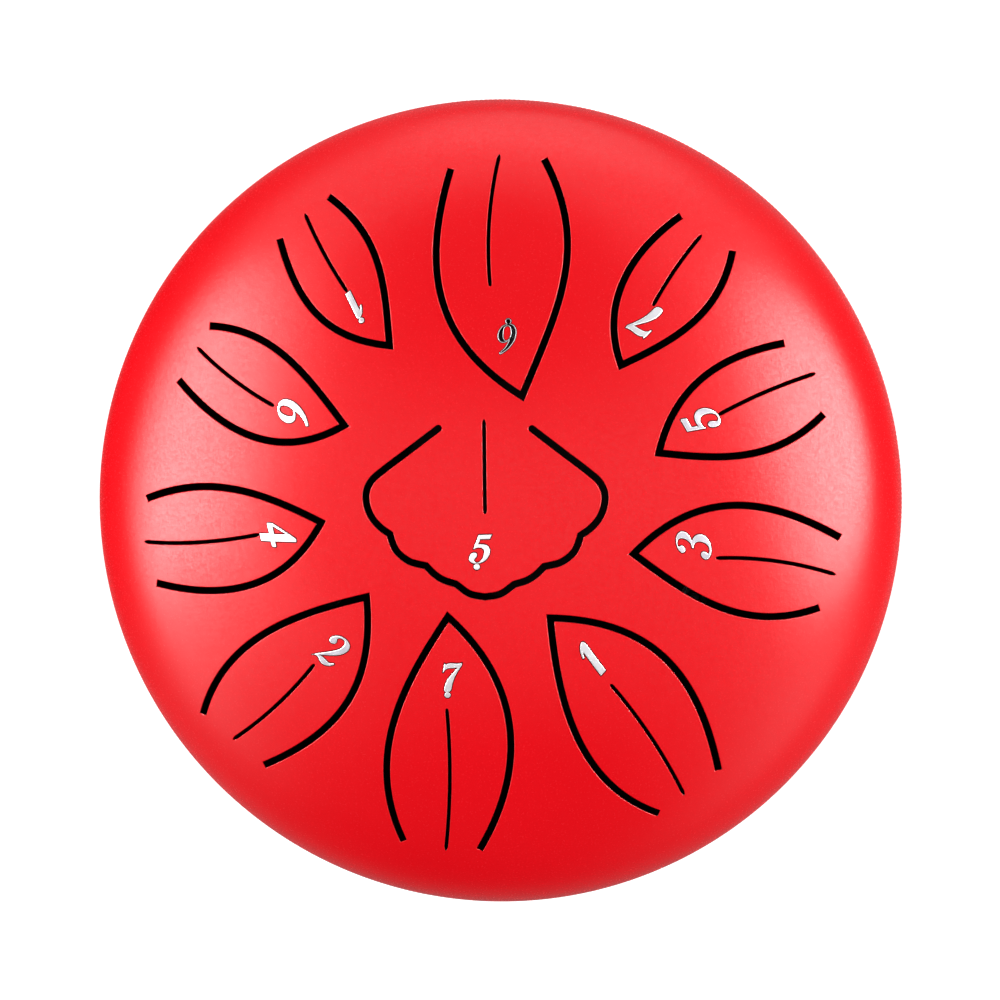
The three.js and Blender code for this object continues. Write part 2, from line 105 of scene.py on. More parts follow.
# Leaf tongues, x and y: the tip, control points of the two sides from root to tip, control
# points of the vein from the root. Last, the numeral's x, y and turn from upright along +Y.
LEAVES = {
    "low_6": (
        (10.85, 36.02), ((-12.34, 104.92), (-19.93, 75.5), (-17.12, 53.12)),
        ((16.18, 107.92), (31.71, 81.13), (21.21, 61.79)),
        ((2.41, 109.05), (-1.45, 89.35), (0.78, 69.42)), (6.09, 53.27, -170)),
    "7": (
        (40.73, 45.37), ((58.24, 90.56), (43.03, 79.67), (33.88, 64.04)),
        ((74.04, 79.84), (70.55, 60.42), (57.14, 53.02)),
        ((64.42, 84.48), (56.22, 74.68), (50.25, 63.41)), (48.25, 59.07, 150.4)),
    "5": (
        (52.29, 18.83), ((102.07, 29.95), (87.41, 15.36), (71.1, 16.67)),
        ((89.98, 51.69), (70.4, 48.34), (56.82, 39.07)),
        ((99.31, 42.33), (84.15, 37.82), (70.25, 30.26)), (65.09, 28.51, 120)),
    "3": (
        (44.74, -11.81), ((107.32, -8.03), (85.19, 5.53), (64.09, 8.32)),
        ((101.07, -29.55), (78.16, -36.86), (62.16, -25.18)),
        ((105.77, -19.38), (88.26, -12.92), (69.76, -13.34)), (63.0, -9.09, 87.7)),
    "1": (
        (19.46, -31.44), ((70.36, -80.23), (64.89, -50.26), (51.72, -31.95)),
        ((52.02, -93.91), (26.81, -83.44), (21.56, -55.61)),
        ((59.71, -87.84), (51.31, -68.38), (37.8, -52.16)), (32.76, -43.02, 48)),
    "low_7": (
        (-11.74, -31.25), ((-27.29, -103.36), (-38.07, -75.86), (-27.04, -54.02)),
        ((-3.58, -105.74), (11.61, -79.62), (11.95, -52.52)),
        ((-14.13, -105.92), (-10.74, -83.05), (-12.4, -60.06)), (-10.85, -50.1, 4)),
    "2": (
        (-36.76, -25.44), ((-90.35, -64.57), (-81.82, -39.38), (-60.29, -31.28)),
        ((-70.89, -79.98), (-45.93, -68.06), (-34.37, -53.48)),
        ((-80.47, -72.0), (-65.13, -61.37), (-53.48, -46.88)), (-47.6, -42.42, -37.1)),
    "4": (
        (-50.69, -2.75), ((-107.18, 2.96), (-86.39, 11.55), (-69.94, 6.69)),
        ((-104.19, -23.33), (-82.03, -27.33), (-62.36, -24.46)),
        ((-107.88, -10.59), (-88.9, -10.93), (-70.42, -6.92)), (-64.28, -5.87, -78)),
    "6": (
        (-43.5, 26.93), ((-96.72, 39.89), (-81.9, 24.22), (-63.81, 15.06)),
        ((-86.95, 56.61), (-65.79, 56.1), (-55.44, 42.12)),
        ((-90.68, 49.85), (-79.32, 39.67), (-65.78, 32.59)), (-59.61, 30.48, -98)),
    "high_1": (
        (-29.77, 51.16), ((-50.3, 96.39), (-32.68, 84.56), (-31.64, 70.24)),
        ((-65.29, 83.44), (-59.0, 64.81), (-50.67, 53.02)),
        ((-57.46, 90.93), (-51.31, 78.69), (-43.31, 67.55)), (-41.66, 62.94, -140)),
}
# The lotus is symmetric about x = LOTUS_X. These are the smooth stretches of its +X half, as
# distance from that line and y, joined at the notches.
LOTUS_X = -0.35
LOTUS_RUNS = [
    [(0, -25.05), (4.6, -24.15), (8.9, -21.15)],
    [(8.9, -21.15), (13.0, -19.8), (15.6, -18.05), (18.0, -15.65)],
    [(18.0, -15.65), (20.4, -15.15), (23.2, -14.3), (26.8, -11.5), (28.2, -8.9), (29.05, -6.1)],
    [(29.05, -6.1), (31.9, -4.1), (34.7, -0.9), (36.2, 3.0), (36.3, 6.8), (34.7, 10.2),
     (31.6, 13.0), (23.7, 19.0), (14.25, 26.2)],
]
LOTUS_VEIN = ((-0.67, 28.7), (-0.48, 14.5), (-0.3, 0.5))
LOTUS_NUMERAL = (-1.44, -10.32, 2)

# Outlines of the digits in hundredths of their height, as move, line and curve commands.
# The first contour is solid and a second one is a hole. A key with a register has its own digit.
GLYPH_CENTRE = (42, 50)
GLYPHS = {
    "1": """M 13 -6 L 34 -6 L 34 88 C 34 98 31 104 26 105 C 15 103 6 90 1 69 C 1 65 6 64 9 68
        C 10 73 11 76 13 77 Z""",
    "2": """M 2 1 C 6 5 9 8 15 8 C 23 8 28 -1 40 -1 C 52 -1 60 6 64 20 C 62 24 58 24 56 20
        C 52 14 46 15 38 17 C 32 18.5 26 18.5 20 17 C 32 32 60 48 60 75 C 60 94 46 105 30 105
        C 12 105 1 94 1 80 C 1 72 6 67 12 67 C 18 67 22 71 22 77 C 22 83 17 85 17 89
        C 17 94 22 97.5 28 97.5 C 36 97.5 41 90 41 79 C 41 56 18 37 2 1 Z""",
    "3": """M 22 86 C 22 91 18 93 18 95 C 19 98 23 98.5 27 98.5 C 35 98.5 40 92 40 82
        C 40 68 33 58 21 57 L 21 50 C 35 52 43 43 43 28 C 43 14 37 5 26 5 C 22 5 19 6 18 8
        C 18 10 21 13 21 18 C 21 25 17 29 11 29 C 5 29 0 24 0 16 C 0 6 10 -2 26 -2
        C 47 -2 64 10 64 29 C 64 43 55 53 42 57 C 51 62 60 70 60 82 C 60 95 49 104.5 33 104.5
        C 18 104.5 4 96 2 85 C 2 79 6 75 11 75 C 17 75 22 80 22 86 Z""",
    "4": """M 37 -7 L 59 -7 L 60 22 L 72 22 C 76 27 76 33 73 37 L 60 37 L 60 95
        C 60 99 58 101 54 101 L 48 100 L 9 41 C 7 36 7 27 9 22 L 37 22 Z
        M 38 38.5 L 19 38.5 L 38 71 Z""",
    "5": """M 15 103 L 53 103 C 54 97 53 90 51 84 L 25 84 L 22 67 C 46 71 64 57 64 35
        C 64 12 48 -2 29 -2 C 13 -2 4 8 4 22 C 4 33 8 40 14 40 C 20 40 24 35 24 28
        C 24 21 20 18 19 12 C 20 7 24 4 29 4 C 39 4 45 16 45 32 C 45 47 36 56 21 54
        C 16 53 13 51 11 49 L 8 50 Z""",
    "6": """M 50 104 C 18 93 1 64 1 36 C 1 15 14 1 32 1 C 50 1 63 15 63 34 C 63 50 53 61 41 61
        C 33 61 28 59 25 55 C 30 74 39 86 53 96 Z
        M 34 9 C 25 9 21 19 21 32 C 21 45 26 53 33 53 C 40 53 44 45 44 32 C 44 18 41 9 34 9 Z""",
    "7": """M 1 69 L 5 69 C 7 78 13 83 23 83 L 45 83 C 34 65 13 47 13 13 C 13 4 18 -2 25 -2
        C 33 -2 38 3 38 12 C 38 42 46 62 61 91 L 61 102 C 52 100 47 100 40 101
        C 28 103 17 105 9 99 C 7 100 6 102 5 104 L 3 104 Z""",
    "low_5": """M 15 100 L 59 100 L 54 82 L 24 82 L 21 67 C 46 71 62 57 62 35
        C 62 12 46 -2 26 -2 C 8 -2 -2 8 -2 22 C -2 33 4 39 11 39 C 18 39 23 34 23 27
        C 23 20 18 17 17 12 C 18 7 22 4 27 4 C 37 4 43 16 43 32 C 43 47 34 55 20 53
        C 15 52 11 50 9 48 L 6 49 Z""",
    "low_6": """M 52 99 C 20 89 2 62 2 35 C 2 13 14 -2 32 -2 C 51 -2 62 13 62 33
        C 62 49 52 61 40 61 C 33 61 28 58 25 54 C 30 72 40 83 55 92 Z
        M 33 6 C 24 6 20 17 20 31 C 20 45 26 54 33 54 C 40 54 44 45 44 31 C 44 15 41 6 33 6 Z""",
    "high_1": """M 13 0 L 34 0 L 34 86 C 34 95 31 102 26 102 C 15 100 5 90 0 69
        C 0 65 6 64 9 68 C 10 73 11 76 13 77 Z""",
}
# The dot under a low digit or over a high one: x, y and radius in the same units
DOTS = {"low_5": (28, -12, 11.5), "low_7": (27, -11, 11.5), "low_6": (30, -10, 10.5),
        "high_1": (23, 111, 10.5)}


# ------------------------------------------------------------------ lines
def unit(vectors):
    vectors = np.asarray(vectors, float)
    return vectors / np.maximum(np.linalg.norm(vectors, axis=-1, keepdims=True), 1e-12)


def left_of(heading):
    return np.stack([-heading[..., 1], heading[..., 0]], -1)


def circle(radius, count, phase=0):
    """Points round the origin. The phase is in steps."""
    angles = (np.arange(count) + phase) * 2 * math.pi / count
    return np.stack([radius * np.cos(angles), radius * np.sin(angles)], -1)


def ring(radius, z, count):
    return np.c_[circle(radius, count), np.broadcast_to(z, count)]


def bezier(controls, steps):
    """A quadratic or cubic curve."""
    p = np.array(controls, float)
    t = np.linspace(0, 1, steps + 1)[:, None]
    if len(p) == 4:
        return ((1 - t) ** 3 * p[0] + 3 * (1 - t) ** 2 * t * p[1]
                + 3 * (1 - t) * t * t * p[2] + t ** 3 * p[3])
    return (1 - t) ** 2 * p[0] + 2 * (1 - t) * t * p[1] + t * t * p[2]


def spline(points, steps=14):
    """A smooth line through the points, not overshooting at its ends."""
    points = np.array(points, float)
    padded = np.vstack([2 * points[0] - points[1], points, 2 * points[-1] - points[-2]])
    line = [points[0]]
    for i in range(1, len(padded) - 2):
        near = padded[i - 1:i + 3]
        before, start, end, after = near
        gap0, gap1, gap2 = (max(np.linalg.norm(span), 1e-6) ** 0.5
                            for span in np.diff(near, axis=0))
        leave = (end - start) + gap1 * ((start - before) / gap0 - (end - before) / (gap0 + gap1))
        arrive = (end - start) + gap1 * ((after - end) / gap2 - (after - start) / (gap1 + gap2))
        for t in np.linspace(0, 1, steps + 1)[1:]:
            line.append((2 * t ** 3 - 3 * t * t + 1) * start + (t ** 3 - 2 * t * t + t) * leave
                        + (-2 * t ** 3 + 3 * t * t) * end + (t ** 3 - t * t) * arrive)
    return np.array(line)


def resample(line, step):
    run = np.r_[0, np.cumsum(np.linalg.norm(np.diff(line, axis=0), axis=1))]
    stations = np.linspace(0, run[-1], max(2, int(round(run[-1] / step))) + 1)
    return np.stack([np.interp(stations, run, line[:, 0]),
                     np.interp(stations, run, line[:, 1])], -1)


def shift(line, distance):
    """The line moved to its left."""
    heading = unit(np.diff(line, axis=0))
    heading = np.vstack([heading[:1], heading, heading[-1:]])
    normal = unit(left_of(heading[:-1]) + left_of(heading[1:]))
    lean = np.sum(normal * left_of(heading[1:]), -1, keepdims=True)
    return line + normal * distance / np.maximum(lean, 0.3)


def cross2(first, second):
    return first[0] * second[1] - first[1] * second[0]


def crossing(line, other):
    """Last crossing of two lines, as (segment of line, segment of other, point), or None."""
    for i in range(len(line) - 2, -1, -1):
        span = line[i + 1] - line[i]
        for j in range(len(other) - 1):
            other_span = other[j + 1] - other[j]
            spread = cross2(span, other_span)
            if abs(spread) < 1e-12:
                continue
            gap = other[j] - line[i]
            t = cross2(gap, other_span) / spread
            u = cross2(gap, span) / spread
            if -1e-9 <= t <= 1 + 1e-9 and -1e-9 <= u <= 1 + 1e-9:
                return i, j, line[i] + t * span
    return None


def edge_line(runs, distance):
    """Smooth runs joined at corners, moved to the left and cut or mitred at the corners."""
    moved = [shift(run, distance) for run in runs]
    for k in range(len(moved) - 1):
        before, after = moved[k], moved[k + 1]
        # only the halves that meet can cross
        tail, head = max(2, len(before) // 2), max(2, len(after) // 2)
        hit = crossing(before[-tail:], after[:head])
        if hit is not None:
            i, j, corner = hit
            moved[k] = np.vstack([before[:len(before) - tail + i + 1], corner])
            moved[k + 1] = np.vstack([corner, after[j + 1:]])
        else:
            leave, arrive = unit(before[-1] - before[-2]), unit(after[1] - after[0])
            spread = leave[0] * -arrive[1] + leave[1] * arrive[0]
            gap = after[0] - before[-1]
            reach = 0
            if abs(spread) > 1e-6:
                reach = (gap[0] * -arrive[1] + gap[1] * arrive[0]) / spread
            corner = before[-1] + leave * max(0, min(reach, 4 * abs(distance)))
            moved[k] = np.vstack([before, corner])
            moved[k + 1] = np.vstack([corner, after])
    joined = []
    for k, line in enumerate(moved):
        line = line[np.r_[True, np.linalg.norm(np.diff(line, axis=0), axis=1) > 1e-5]]
        line = resample(line, STEP)
        joined.append(line if k == 0 else line[1:])
    return np.vstack(joined)


def mitre(loop):
    """Outward mitre vectors of a closed loop that runs anticlockwise."""
    after = -left_of(unit(np.roll(loop, -1, 0) - loop))
    out = unit(np.roll(after, 1, 0) + after)
    return out / np.maximum(np.sum(out * after, -1, keepdims=True), 0.35)


def area(loop):
    """Area of a closed loop, positive when it runs anticlockwise."""
    x, y = loop[:, 0], loop[:, 1]
    return 0.5 * np.sum(x * np.roll(y, -1) - y * np.roll(x, -1))


def inside(points, loop):
    x, y = points[:, 0], points[:, 1]
    found = np.zeros(len(points), bool)
    for (x0, y0), (x1, y1) in zip(loop, np.roll(loop, -1, 0)):
        if y0 == y1:
            continue
        level = (y0 > y) != (y1 > y)
        found ^= level & (x < (x1 - x0) * (y - y0) / (y1 - y0) + x0)
    return found


def fine_loop(loop):
    """A closed loop with points added on its sides."""
    points = []
    for start, end in zip(loop, np.roll(loop, -1, 0)):
        count = max(1, int(math.ceil(np.linalg.norm(end - start) / FINE_STEP)))
        points += [start + (end - start) * k / count for k in range(count)]
    return np.array(points)


def segment_distance(points, starts, ends):
    """Distance from each point to the nearest of the segments."""
    nearest = np.full(len(points), 1e9)
    spans = ends - starts
    squares = np.maximum(np.sum(spans * spans, -1), 1e-12)
    batch = 2000
    for k in range(0, len(points), batch):
        gaps = points[k:k + batch][:, None] - starts[None]
        along = np.clip(np.einsum("ijk,jk->ij", gaps, spans) / squares, 0, 1)
        away = points[k:k + batch][:, None] - (starts[None] + along[..., None] * spans[None])
        nearest[k:k + batch] = np.sqrt(np.min(np.sum(away * away, -1), 1))
    return nearest


def rounded(corners, steps):
    """A closed profile with rounded corners, from rows of radius, z and rounding."""
    corners = np.array(corners, float)
    points = corners[:, :2]
    profile = []
    for i, rounding in enumerate(corners[:, 2]):
        before, corner, after = points[i - 1], points[i], points[(i + 1) % len(points)]
        back, ahead = unit(before - corner), unit(after - corner)
        half = math.acos(max(-1, min(1, float(back @ ahead)))) / 2
        if rounding <= 0 or half > 1.5:
            profile.append(corner)
            continue
        reach = min(rounding / max(math.tan(half), 1e-6),
                    0.45 * np.linalg.norm(before - corner), 0.45 * np.linalg.norm(after - corner))
        arc = [corner + back * reach, corner, corner + ahead * reach]
        profile += list(bezier(arc, steps))
    return np.array(profile)


# ------------------------------------------------------------------ surfaces of the sheet
def dome_z(radius):
    share = np.clip(np.asarray(radius, float) / BOWL_R, 0, 1)
    return WALL_TOP + DOME_H * (1 - share ** DOME_POWER) ** (1 / DOME_POWER)


def dome_slope(radius):
    share = np.clip(np.asarray(radius, float) / BOWL_R, 0, 0.99999)
    return (-(DOME_H / BOWL_R) * share ** (DOME_POWER - 1)
            * (1 - share ** DOME_POWER) ** (1 / DOME_POWER - 1))


# The inside of the dome lies one sheet in from the outside, found at these stations
OUTER_STATIONS = BOWL_R * np.sin(np.linspace(0, math.pi / 2 - 1e-4, 6000))
INNER_SLOPES = dome_slope(OUTER_STATIONS)
_slant = np.hypot(1, INNER_SLOPES)
INNER_STATIONS = OUTER_STATIONS + INNER_SLOPES / _slant * SHEET
INNER_HEIGHTS = dome_z(OUTER_STATIONS) - SHEET / _slant


def inner_z(radius):
    return np.interp(radius, INNER_STATIONS, INNER_HEIGHTS)


def turned_normal(x, y, slope):
    """Upward normal of a surface turned about Z."""
    radius = np.hypot(x, y)
    lean = np.where(radius > 1e-9, -slope / np.maximum(radius, 1e-9), 0)
    return unit(np.stack([lean * x, lean * y, np.ones_like(radius)], -1))


def outer_normal(x, y):
    return turned_normal(x, y, dome_slope(np.hypot(x, y)))


def inner_normal(x, y):
    return -turned_normal(x, y, np.interp(np.hypot(x, y), INNER_STATIONS, INNER_SLOPES))


Surface = namedtuple("Surface", "height normal mat")


def level_surface(height, up, mat):
    return Surface(lambda radius: np.full_like(radius, height),
                   lambda x, y: np.tile([0.0, 0.0, up], (len(x), 1)), mat)


# Material slots of the bowls and tongues, then the top and bottom surface of each sheet
COAT, EDGE, INNER = 0, 1, 2
DOME_SHEET = Surface(dome_z, outer_normal, COAT), Surface(inner_z, inner_normal, INNER)
BASE_SHEET = level_surface(FLOOR_Z, 1.0, INNER), level_surface(BASE_Z, -1.0, COAT)


# ------------------------------------------------------------------ tongue outlines
def round_cap(centre, heading, half):
    """Points round a slot's end, from its left side to its right side, without the ends."""
    side = left_of(heading)
    return np.array([centre + side * half * math.sin(a) + heading * half * math.cos(a)
                     for a in np.linspace(math.pi / 2, -math.pi / 2, 9)])[1:-1]


def slot_loop(runs, square):
    """Closed anticlockwise outline of a slot that has its tongue on the left of the runs.

    With it come the vertices between which, going forwards, it borders the tongue."""
    half = SLOT_W / 2
    near, far = edge_line(runs, half), edge_line(runs, -half)
    start, end = runs[0][0], runs[-1][-1]
    if square:
        start_cap, end_cap = np.array([start]), np.array([end])
    else:
        start_cap = round_cap(start, unit(start - runs[0][1]), half)
        end_cap = round_cap(end, unit(end - runs[-1][-2]), half)
    # built clockwise: along the near side, round the end, back on the far side
    loop = np.vstack([near, end_cap, far[::-1], start_cap])[::-1]
    last = len(loop) - 1
    end_split = last - (len(near) + len(end_cap) // 2)
    start_split = last - (len(near) + len(end_cap) + len(far) + len(start_cap) // 2)
    return loop, end_split, start_split


def vein_loop(controls):
    """Closed anticlockwise outline of a vein. Both ends narrow to a rounded point."""
    line = resample(bezier(controls, 60), STEP)
    half = VEIN_W / 2
    back, ahead = unit(line[0] - line[1]), unit(line[-1] - line[-2])
    left, right = shift(line, half), shift(line, -half)
    for side, sign in ((left, 1), (right, -1)):
        side[0] = line[0] + left_of(-back) * sign * half * 0.55
        side[-1] = line[-1] + left_of(ahead) * sign * half * 0.7
    return np.vstack([left, line[-1] + ahead * 0.32, right[::-1], line[0] + back * 0.4])[::-1]


def leaf_runs(tip, side_a, side_b):
    """The two sides of a leaf, anticlockwise from root to tip to root."""
    first = bezier([*side_a, tip], 110)
    second = bezier([*side_b, tip], 110)[::-1]
    if area(np.vstack([first, second[1:]])) < 0:
        return [second[::-1], first[::-1]]
    return [first, second]


def lotus_runs():
    halves = [spline(run) for run in LOTUS_RUNS]
    right = [np.stack([LOTUS_X + run[:, 0], run[:, 1]], -1) for run in halves]
    left = [np.stack([2 * LOTUS_X - run[:, 0], run[:, 1]], -1)[::-1] for run in right]
    bottom = np.vstack([left[0], right[0][1:]])
    return [*left[:0:-1], bottom, *right[1:]]


class Tongue:
    """A tongue's slot and vein, and the hidden line round its root where it meets the bowl.

    The runs go anticlockwise round the tongue, from one root corner to the other."""

    def __init__(self, key, runs, vein, numeral, square=True):
        self.key, self.numeral = key, numeral
        self.loop, first, last = slot_loop(runs, square)
        self.mitres = mitre(self.loop)
        self.edge = self.loop + self.mitres * CUT_ROUND
        self.tongue_side, self.bowl_side = self.stretch(first, last), self.stretch(last, first)
        self.vein = vein_loop(vein)
        self.vein_mitres = mitre(self.vein)
        self.vein_edge = self.vein + self.vein_mitres * CUT_ROUND * VEIN_ROUND

        corner = runs[0][0]
        self.out = left_of(unit(runs[-1][-1] - corner))
        reach = max(0.0, float((np.array(vein[0]) - corner) @ self.out)) + ROOT_OVER

        # the strip's sides carry the slot's direction on to the root line
        def to_root(i):
            heading = unit(self.mitres[i])
            left = reach - (self.edge[i] - corner) @ self.out
            return self.edge[i] + heading * (left / (heading @ self.out))

        first_root, last_root = to_root(first), to_root(last)
        self.path = np.vstack([
            resample(np.array([self.edge[first], first_root]), 1.0),
            resample(np.array([first_root, last_root]), 1.2)[1:],
            resample(np.array([last_root, self.edge[last]]), 1.0)[1:]])
        self.root = (first_root + last_root) / 2
        self.outline = np.vstack([self.edge[self.tongue_side], self.path[::-1][1:-1]])
        self.length = float(np.max(-((self.loop - self.root) @ self.out)))

    def stretch(self, first, last):
        count = len(self.loop)
        return [(first + i) % count for i in range((last - first) % count + 1)]


TONGUES = [Tongue("low_5", lotus_runs(), LOTUS_VEIN, LOTUS_NUMERAL, square=False)]
for key, (tip, side_a, side_b, vein, numeral) in LEAVES.items():
    TONGUES.append(Tongue(key, leaf_runs(tip, side_a, side_b), vein, numeral))


# ------------------------------------------------------------------ triangulation
class Nearby:
    """Points sorted into square cells, to find whether one lies within reach."""

    def __init__(self, reach, points=()):
        self.reach, self.cells = reach, {}
        for point in points:
            self.add(point)

    def cell(self, point):
        return math.floor(point[0] / self.reach), math.floor(point[1] / self.reach)

    def add(self, point):
        self.cells.setdefault(self.cell(point), []).append(point)

    def has(self, point):
        column, row = self.cell(point)
        return any((x - point[0]) ** 2 + (y - point[1]) ** 2 < self.reach * self.reach
                   for i in (-1, 0, 1) for j in (-1, 0, 1)
                   for x, y in self.cells.get((column + i, row + j), ()))


class Layout:
    """Points and fixed edges to triangulate."""

    def __init__(self):
        self.xy, self.edges = [], []

    def add(self, points):
        start = len(self.xy)
        self.xy += [tuple(map(float, point)) for point in points]
        return list(range(start, len(self.xy)))

    def chain(self, ids):
        self.edges += list(zip(ids[:-1], ids[1:]))

    def add_loop(self, points):
        ids = self.add(points)
        self.chain(ids + ids[:1])
        return ids

    def fill_points(self, radius, step, clearance):
        """Rings of points inside a radius, clear of the points already there."""
        count = max(1, int(round(radius / step)))
        rings = []
        for k in range(count):
            ring_r = radius * k / count
            around = max(1, int(round(2 * math.pi * ring_r / step)))
            rings.append(circle(ring_r, around, 0.5 * (k % 2)))
        points = np.vstack(rings)
        taken = Nearby(clearance, self.xy)
        return points[[not taken.has(point) for point in points]]

    def triangulate(self, eps=1e-7, crossing_lines=False):
        """Points and anticlockwise triangles. Lines that cross give new points."""
        verts, _, faces, origins, _, _ = delaunay_2d_cdt(
            [Vector(point) for point in self.xy], self.edges, [], 0, eps, True)
        fans = np.array([(face[0], face[k], face[k + 1])
                         for face in faces for k in range(1, len(face) - 1)])
        if crossing_lines:
            xy, triangles = np.array([(vert.x, vert.y) for vert in verts]), fans
        else:
            xy = np.array(self.xy)
            triangles = np.array([origin[0] for origin in origins])[fans]
        start = xy[triangles[:, 0]]
        side, other = xy[triangles[:, 1]] - start, xy[triangles[:, 2]] - start
        clockwise = side[:, 0] * other[:, 1] - side[:, 1] * other[:, 0] < 0
        triangles[clockwise] = triangles[clockwise][:, ::-1]
        return xy, triangles


def lay_out_top():
    """One triangulation for the whole top: its points, the bowl's triangles, the outer ring's
    vertices. Each tongue is given its triangles and vertices."""
    layout = Layout()
    for tongue in TONGUES:
        tongue.ids = layout.add_loop(tongue.edge)
        tongue.vein_ids = layout.add_loop(tongue.vein_edge)
        side = tongue.tongue_side
        tongue.path_ids = [tongue.ids[side[0]], *layout.add(tongue.path[1:-1]),
                           tongue.ids[side[-1]]]
        layout.chain(tongue.path_ids)
    ring_ids = layout.add_loop(circle(CUT_R, SEGS))
    layout.add(layout.fill_points(CUT_R, step=1.7, clearance=0.95))
    xy, triangles = layout.triangulate()

    centres = xy[triangles].mean(1)
    in_bowl, opening = -1, -2
    labels = np.full(len(triangles), in_bowl)
    for k, tongue in enumerate(TONGUES):
        labels[inside(centres, tongue.outline)] = k
        labels[inside(centres, tongue.edge)] = opening
        labels[inside(centres, tongue.vein_edge)] = opening
    for k, tongue in enumerate(TONGUES):
        tongue.triangles = triangles[labels == k]
    return xy, triangles[labels == in_bowl], ring_ids


# ------------------------------------------------------------------ mesh building
def link_object(name, mesh):
    made = bpy.data.objects.new(name, mesh)
    bpy.context.scene.collection.objects.link(made)
    return made


class SheetMesh:
    """A piece of steel sheet, with a material and corner normals for each face.

    It starts with the top and bottom faces over the triangles."""

    def __init__(self, xy, triangles, sheet):
        self.verts, self.faces, self.mats, self.normals = [], [], [], []
        self.sheet = sheet
        used = np.unique(triangles)
        ids, normals = [], []
        for surface in sheet:
            heights = surface.height(np.hypot(*xy[used].T))
            ids.append(dict(zip(used, self.add(np.c_[xy[used], heights]))))
            normals.append(dict(zip(used, surface.normal(*xy[used].T))))
        self.top, self.bottom = ids
        for triangle in triangles:
            for k, corners in enumerate((triangle, triangle[::-1])):
                self.face([ids[k][i] for i in corners], [normals[k][i] for i in corners],
                          sheet[k].mat)

    def add(self, points):
        start = len(self.verts)
        self.verts += [tuple(map(float, point)) for point in points]
        return list(range(start, len(self.verts)))

    def face(self, ids, normals, mat):
        self.faces.append(tuple(ids))
        self.normals += [tuple(map(float, normal)) for normal in normals]
        self.mats.append(mat)

    def flat_face(self, ids):
        points = np.array([self.verts[i] for i in ids])
        normal = sum(np.cross(points[k - 1], points[k]) for k in range(len(points)))
        self.face(ids, [unit(normal)] * len(ids), COAT)

    def cut_walls(self, loop, mitres, ids, rounding, order=None, wall=EDGE):
        """Rounded edges and wall of an opening that lies on the left of its loop.

        Only the vertices in order are used, when it is given."""
        closed = order is None
        order = list(range(len(loop))) if closed else order
        line, out = loop[order], mitres[order]
        top, bottom = self.sheet
        into = np.c_[unit(-out), np.zeros(len(order))]
        levels, normals = [[self.top[ids[i]] for i in order]], [top.normal(*line.T)]
        for surface, sign, angles in ((top, -1, (30, 60, 90)), (bottom, 1, (90, 45))):
            face_normal = surface.normal(*line.T)
            for angle in np.radians(angles):
                sin, cos = math.sin(angle), math.cos(angle)
                xy = line + out * rounding * (1 - sin)
                z = surface.height(np.hypot(*xy.T)) + sign * rounding * (1 - cos)
                levels.append(self.add(np.c_[xy, z]))
                normals.append(unit(cos * face_normal + sin * into))
        levels.append([self.bottom[ids[i]] for i in order])
        normals.append(bottom.normal(*line.T))
        mats = [top.mat] * 3 + [wall] + [bottom.mat] * 2
        count = len(order)
        for k, mat in enumerate(mats):
            for i in range(count if closed else count - 1):
                corners = ((k, i), (k, (i + 1) % count), (k + 1, (i + 1) % count), (k + 1, i))
                self.face([levels[row][c] for row, c in corners],
                          [normals[row][c] for row, c in corners], mat)
        return levels

    def tongue_walls(self, tongue, order, flip):
        """One side of a tongue's slot, with the hidden face at the root and the sections at
        the slot's two ends."""
        levels = self.cut_walls(tongue.loop, tongue.mitres, tongue.ids, CUT_ROUND, order)
        top = [self.top[i] for i in tongue.path_ids]
        bottom = [self.bottom[i] for i in tongue.path_ids]
        for i in range(len(top) - 1):
            quad = (top[i], bottom[i], bottom[i + 1], top[i + 1])
            self.flat_face(quad[::-1] if flip else quad)
        self.flat_face([row[0] for row in levels])
        self.flat_face([row[-1] for row in levels][::-1])

    def turned_skin(self, ring_ids, profile, switch):
        """A turned surface from the top's ring of vertices round to the bottom's.

        The outside is on the left of the profile. It has the top's material up to the profile
        segment numbered switch, and the bottom's from there."""
        profile = np.array(profile, float)
        sides = left_of(unit(np.diff(profile, axis=0)))
        where = np.array([profile[0, 0]]), np.zeros(1)
        ends = [surface.normal(*where)[0, [0, 2]] for surface in self.sheet]
        cos, sin = circle(1.0, SEGS).T
        rings = [[self.top[i] for i in ring_ids]]
        rings += [self.add(ring(radius, z, SEGS)) for radius, z in profile[1:-1]]
        rings.append([self.bottom[i] for i in ring_ids])

        def joint(own, other):
            return own if own @ other < 0.8 else unit(own + other)

        def spun(normal, i):
            return normal[0] * cos[i], normal[0] * sin[i], normal[1]

        last = len(sides) - 1
        for k, side in enumerate(sides):
            start = ends[0] if k == 0 else joint(side, sides[k - 1])
            end = ends[1] if k == last else joint(side, sides[k + 1])
            mat = self.sheet[0 if k < switch else 1].mat
            ring_a, ring_b = rings[k], rings[k + 1]
            for i in range(SEGS):
                j = (i + 1) % SEGS
                self.face((ring_a[i], ring_b[i], ring_b[j], ring_a[j]),
                          (spun(start, i), spun(end, i), spun(end, j), spun(start, j)), mat)

    def make(self, name):
        mesh = bpy.data.meshes.new(name)
        mesh.from_pydata([tuple(vert) for vert in np.array(self.verts) * MM], [], self.faces)
        for material in SHEET_MATS:
            mesh.materials.append(material)
        mesh.polygons.foreach_set("material_index", self.mats)
        mesh.polygons.foreach_set("use_smooth", [True] * len(self.faces))
        mesh.normals_split_custom_set(self.normals)
        mesh.update()
        return link_object(name, mesh)


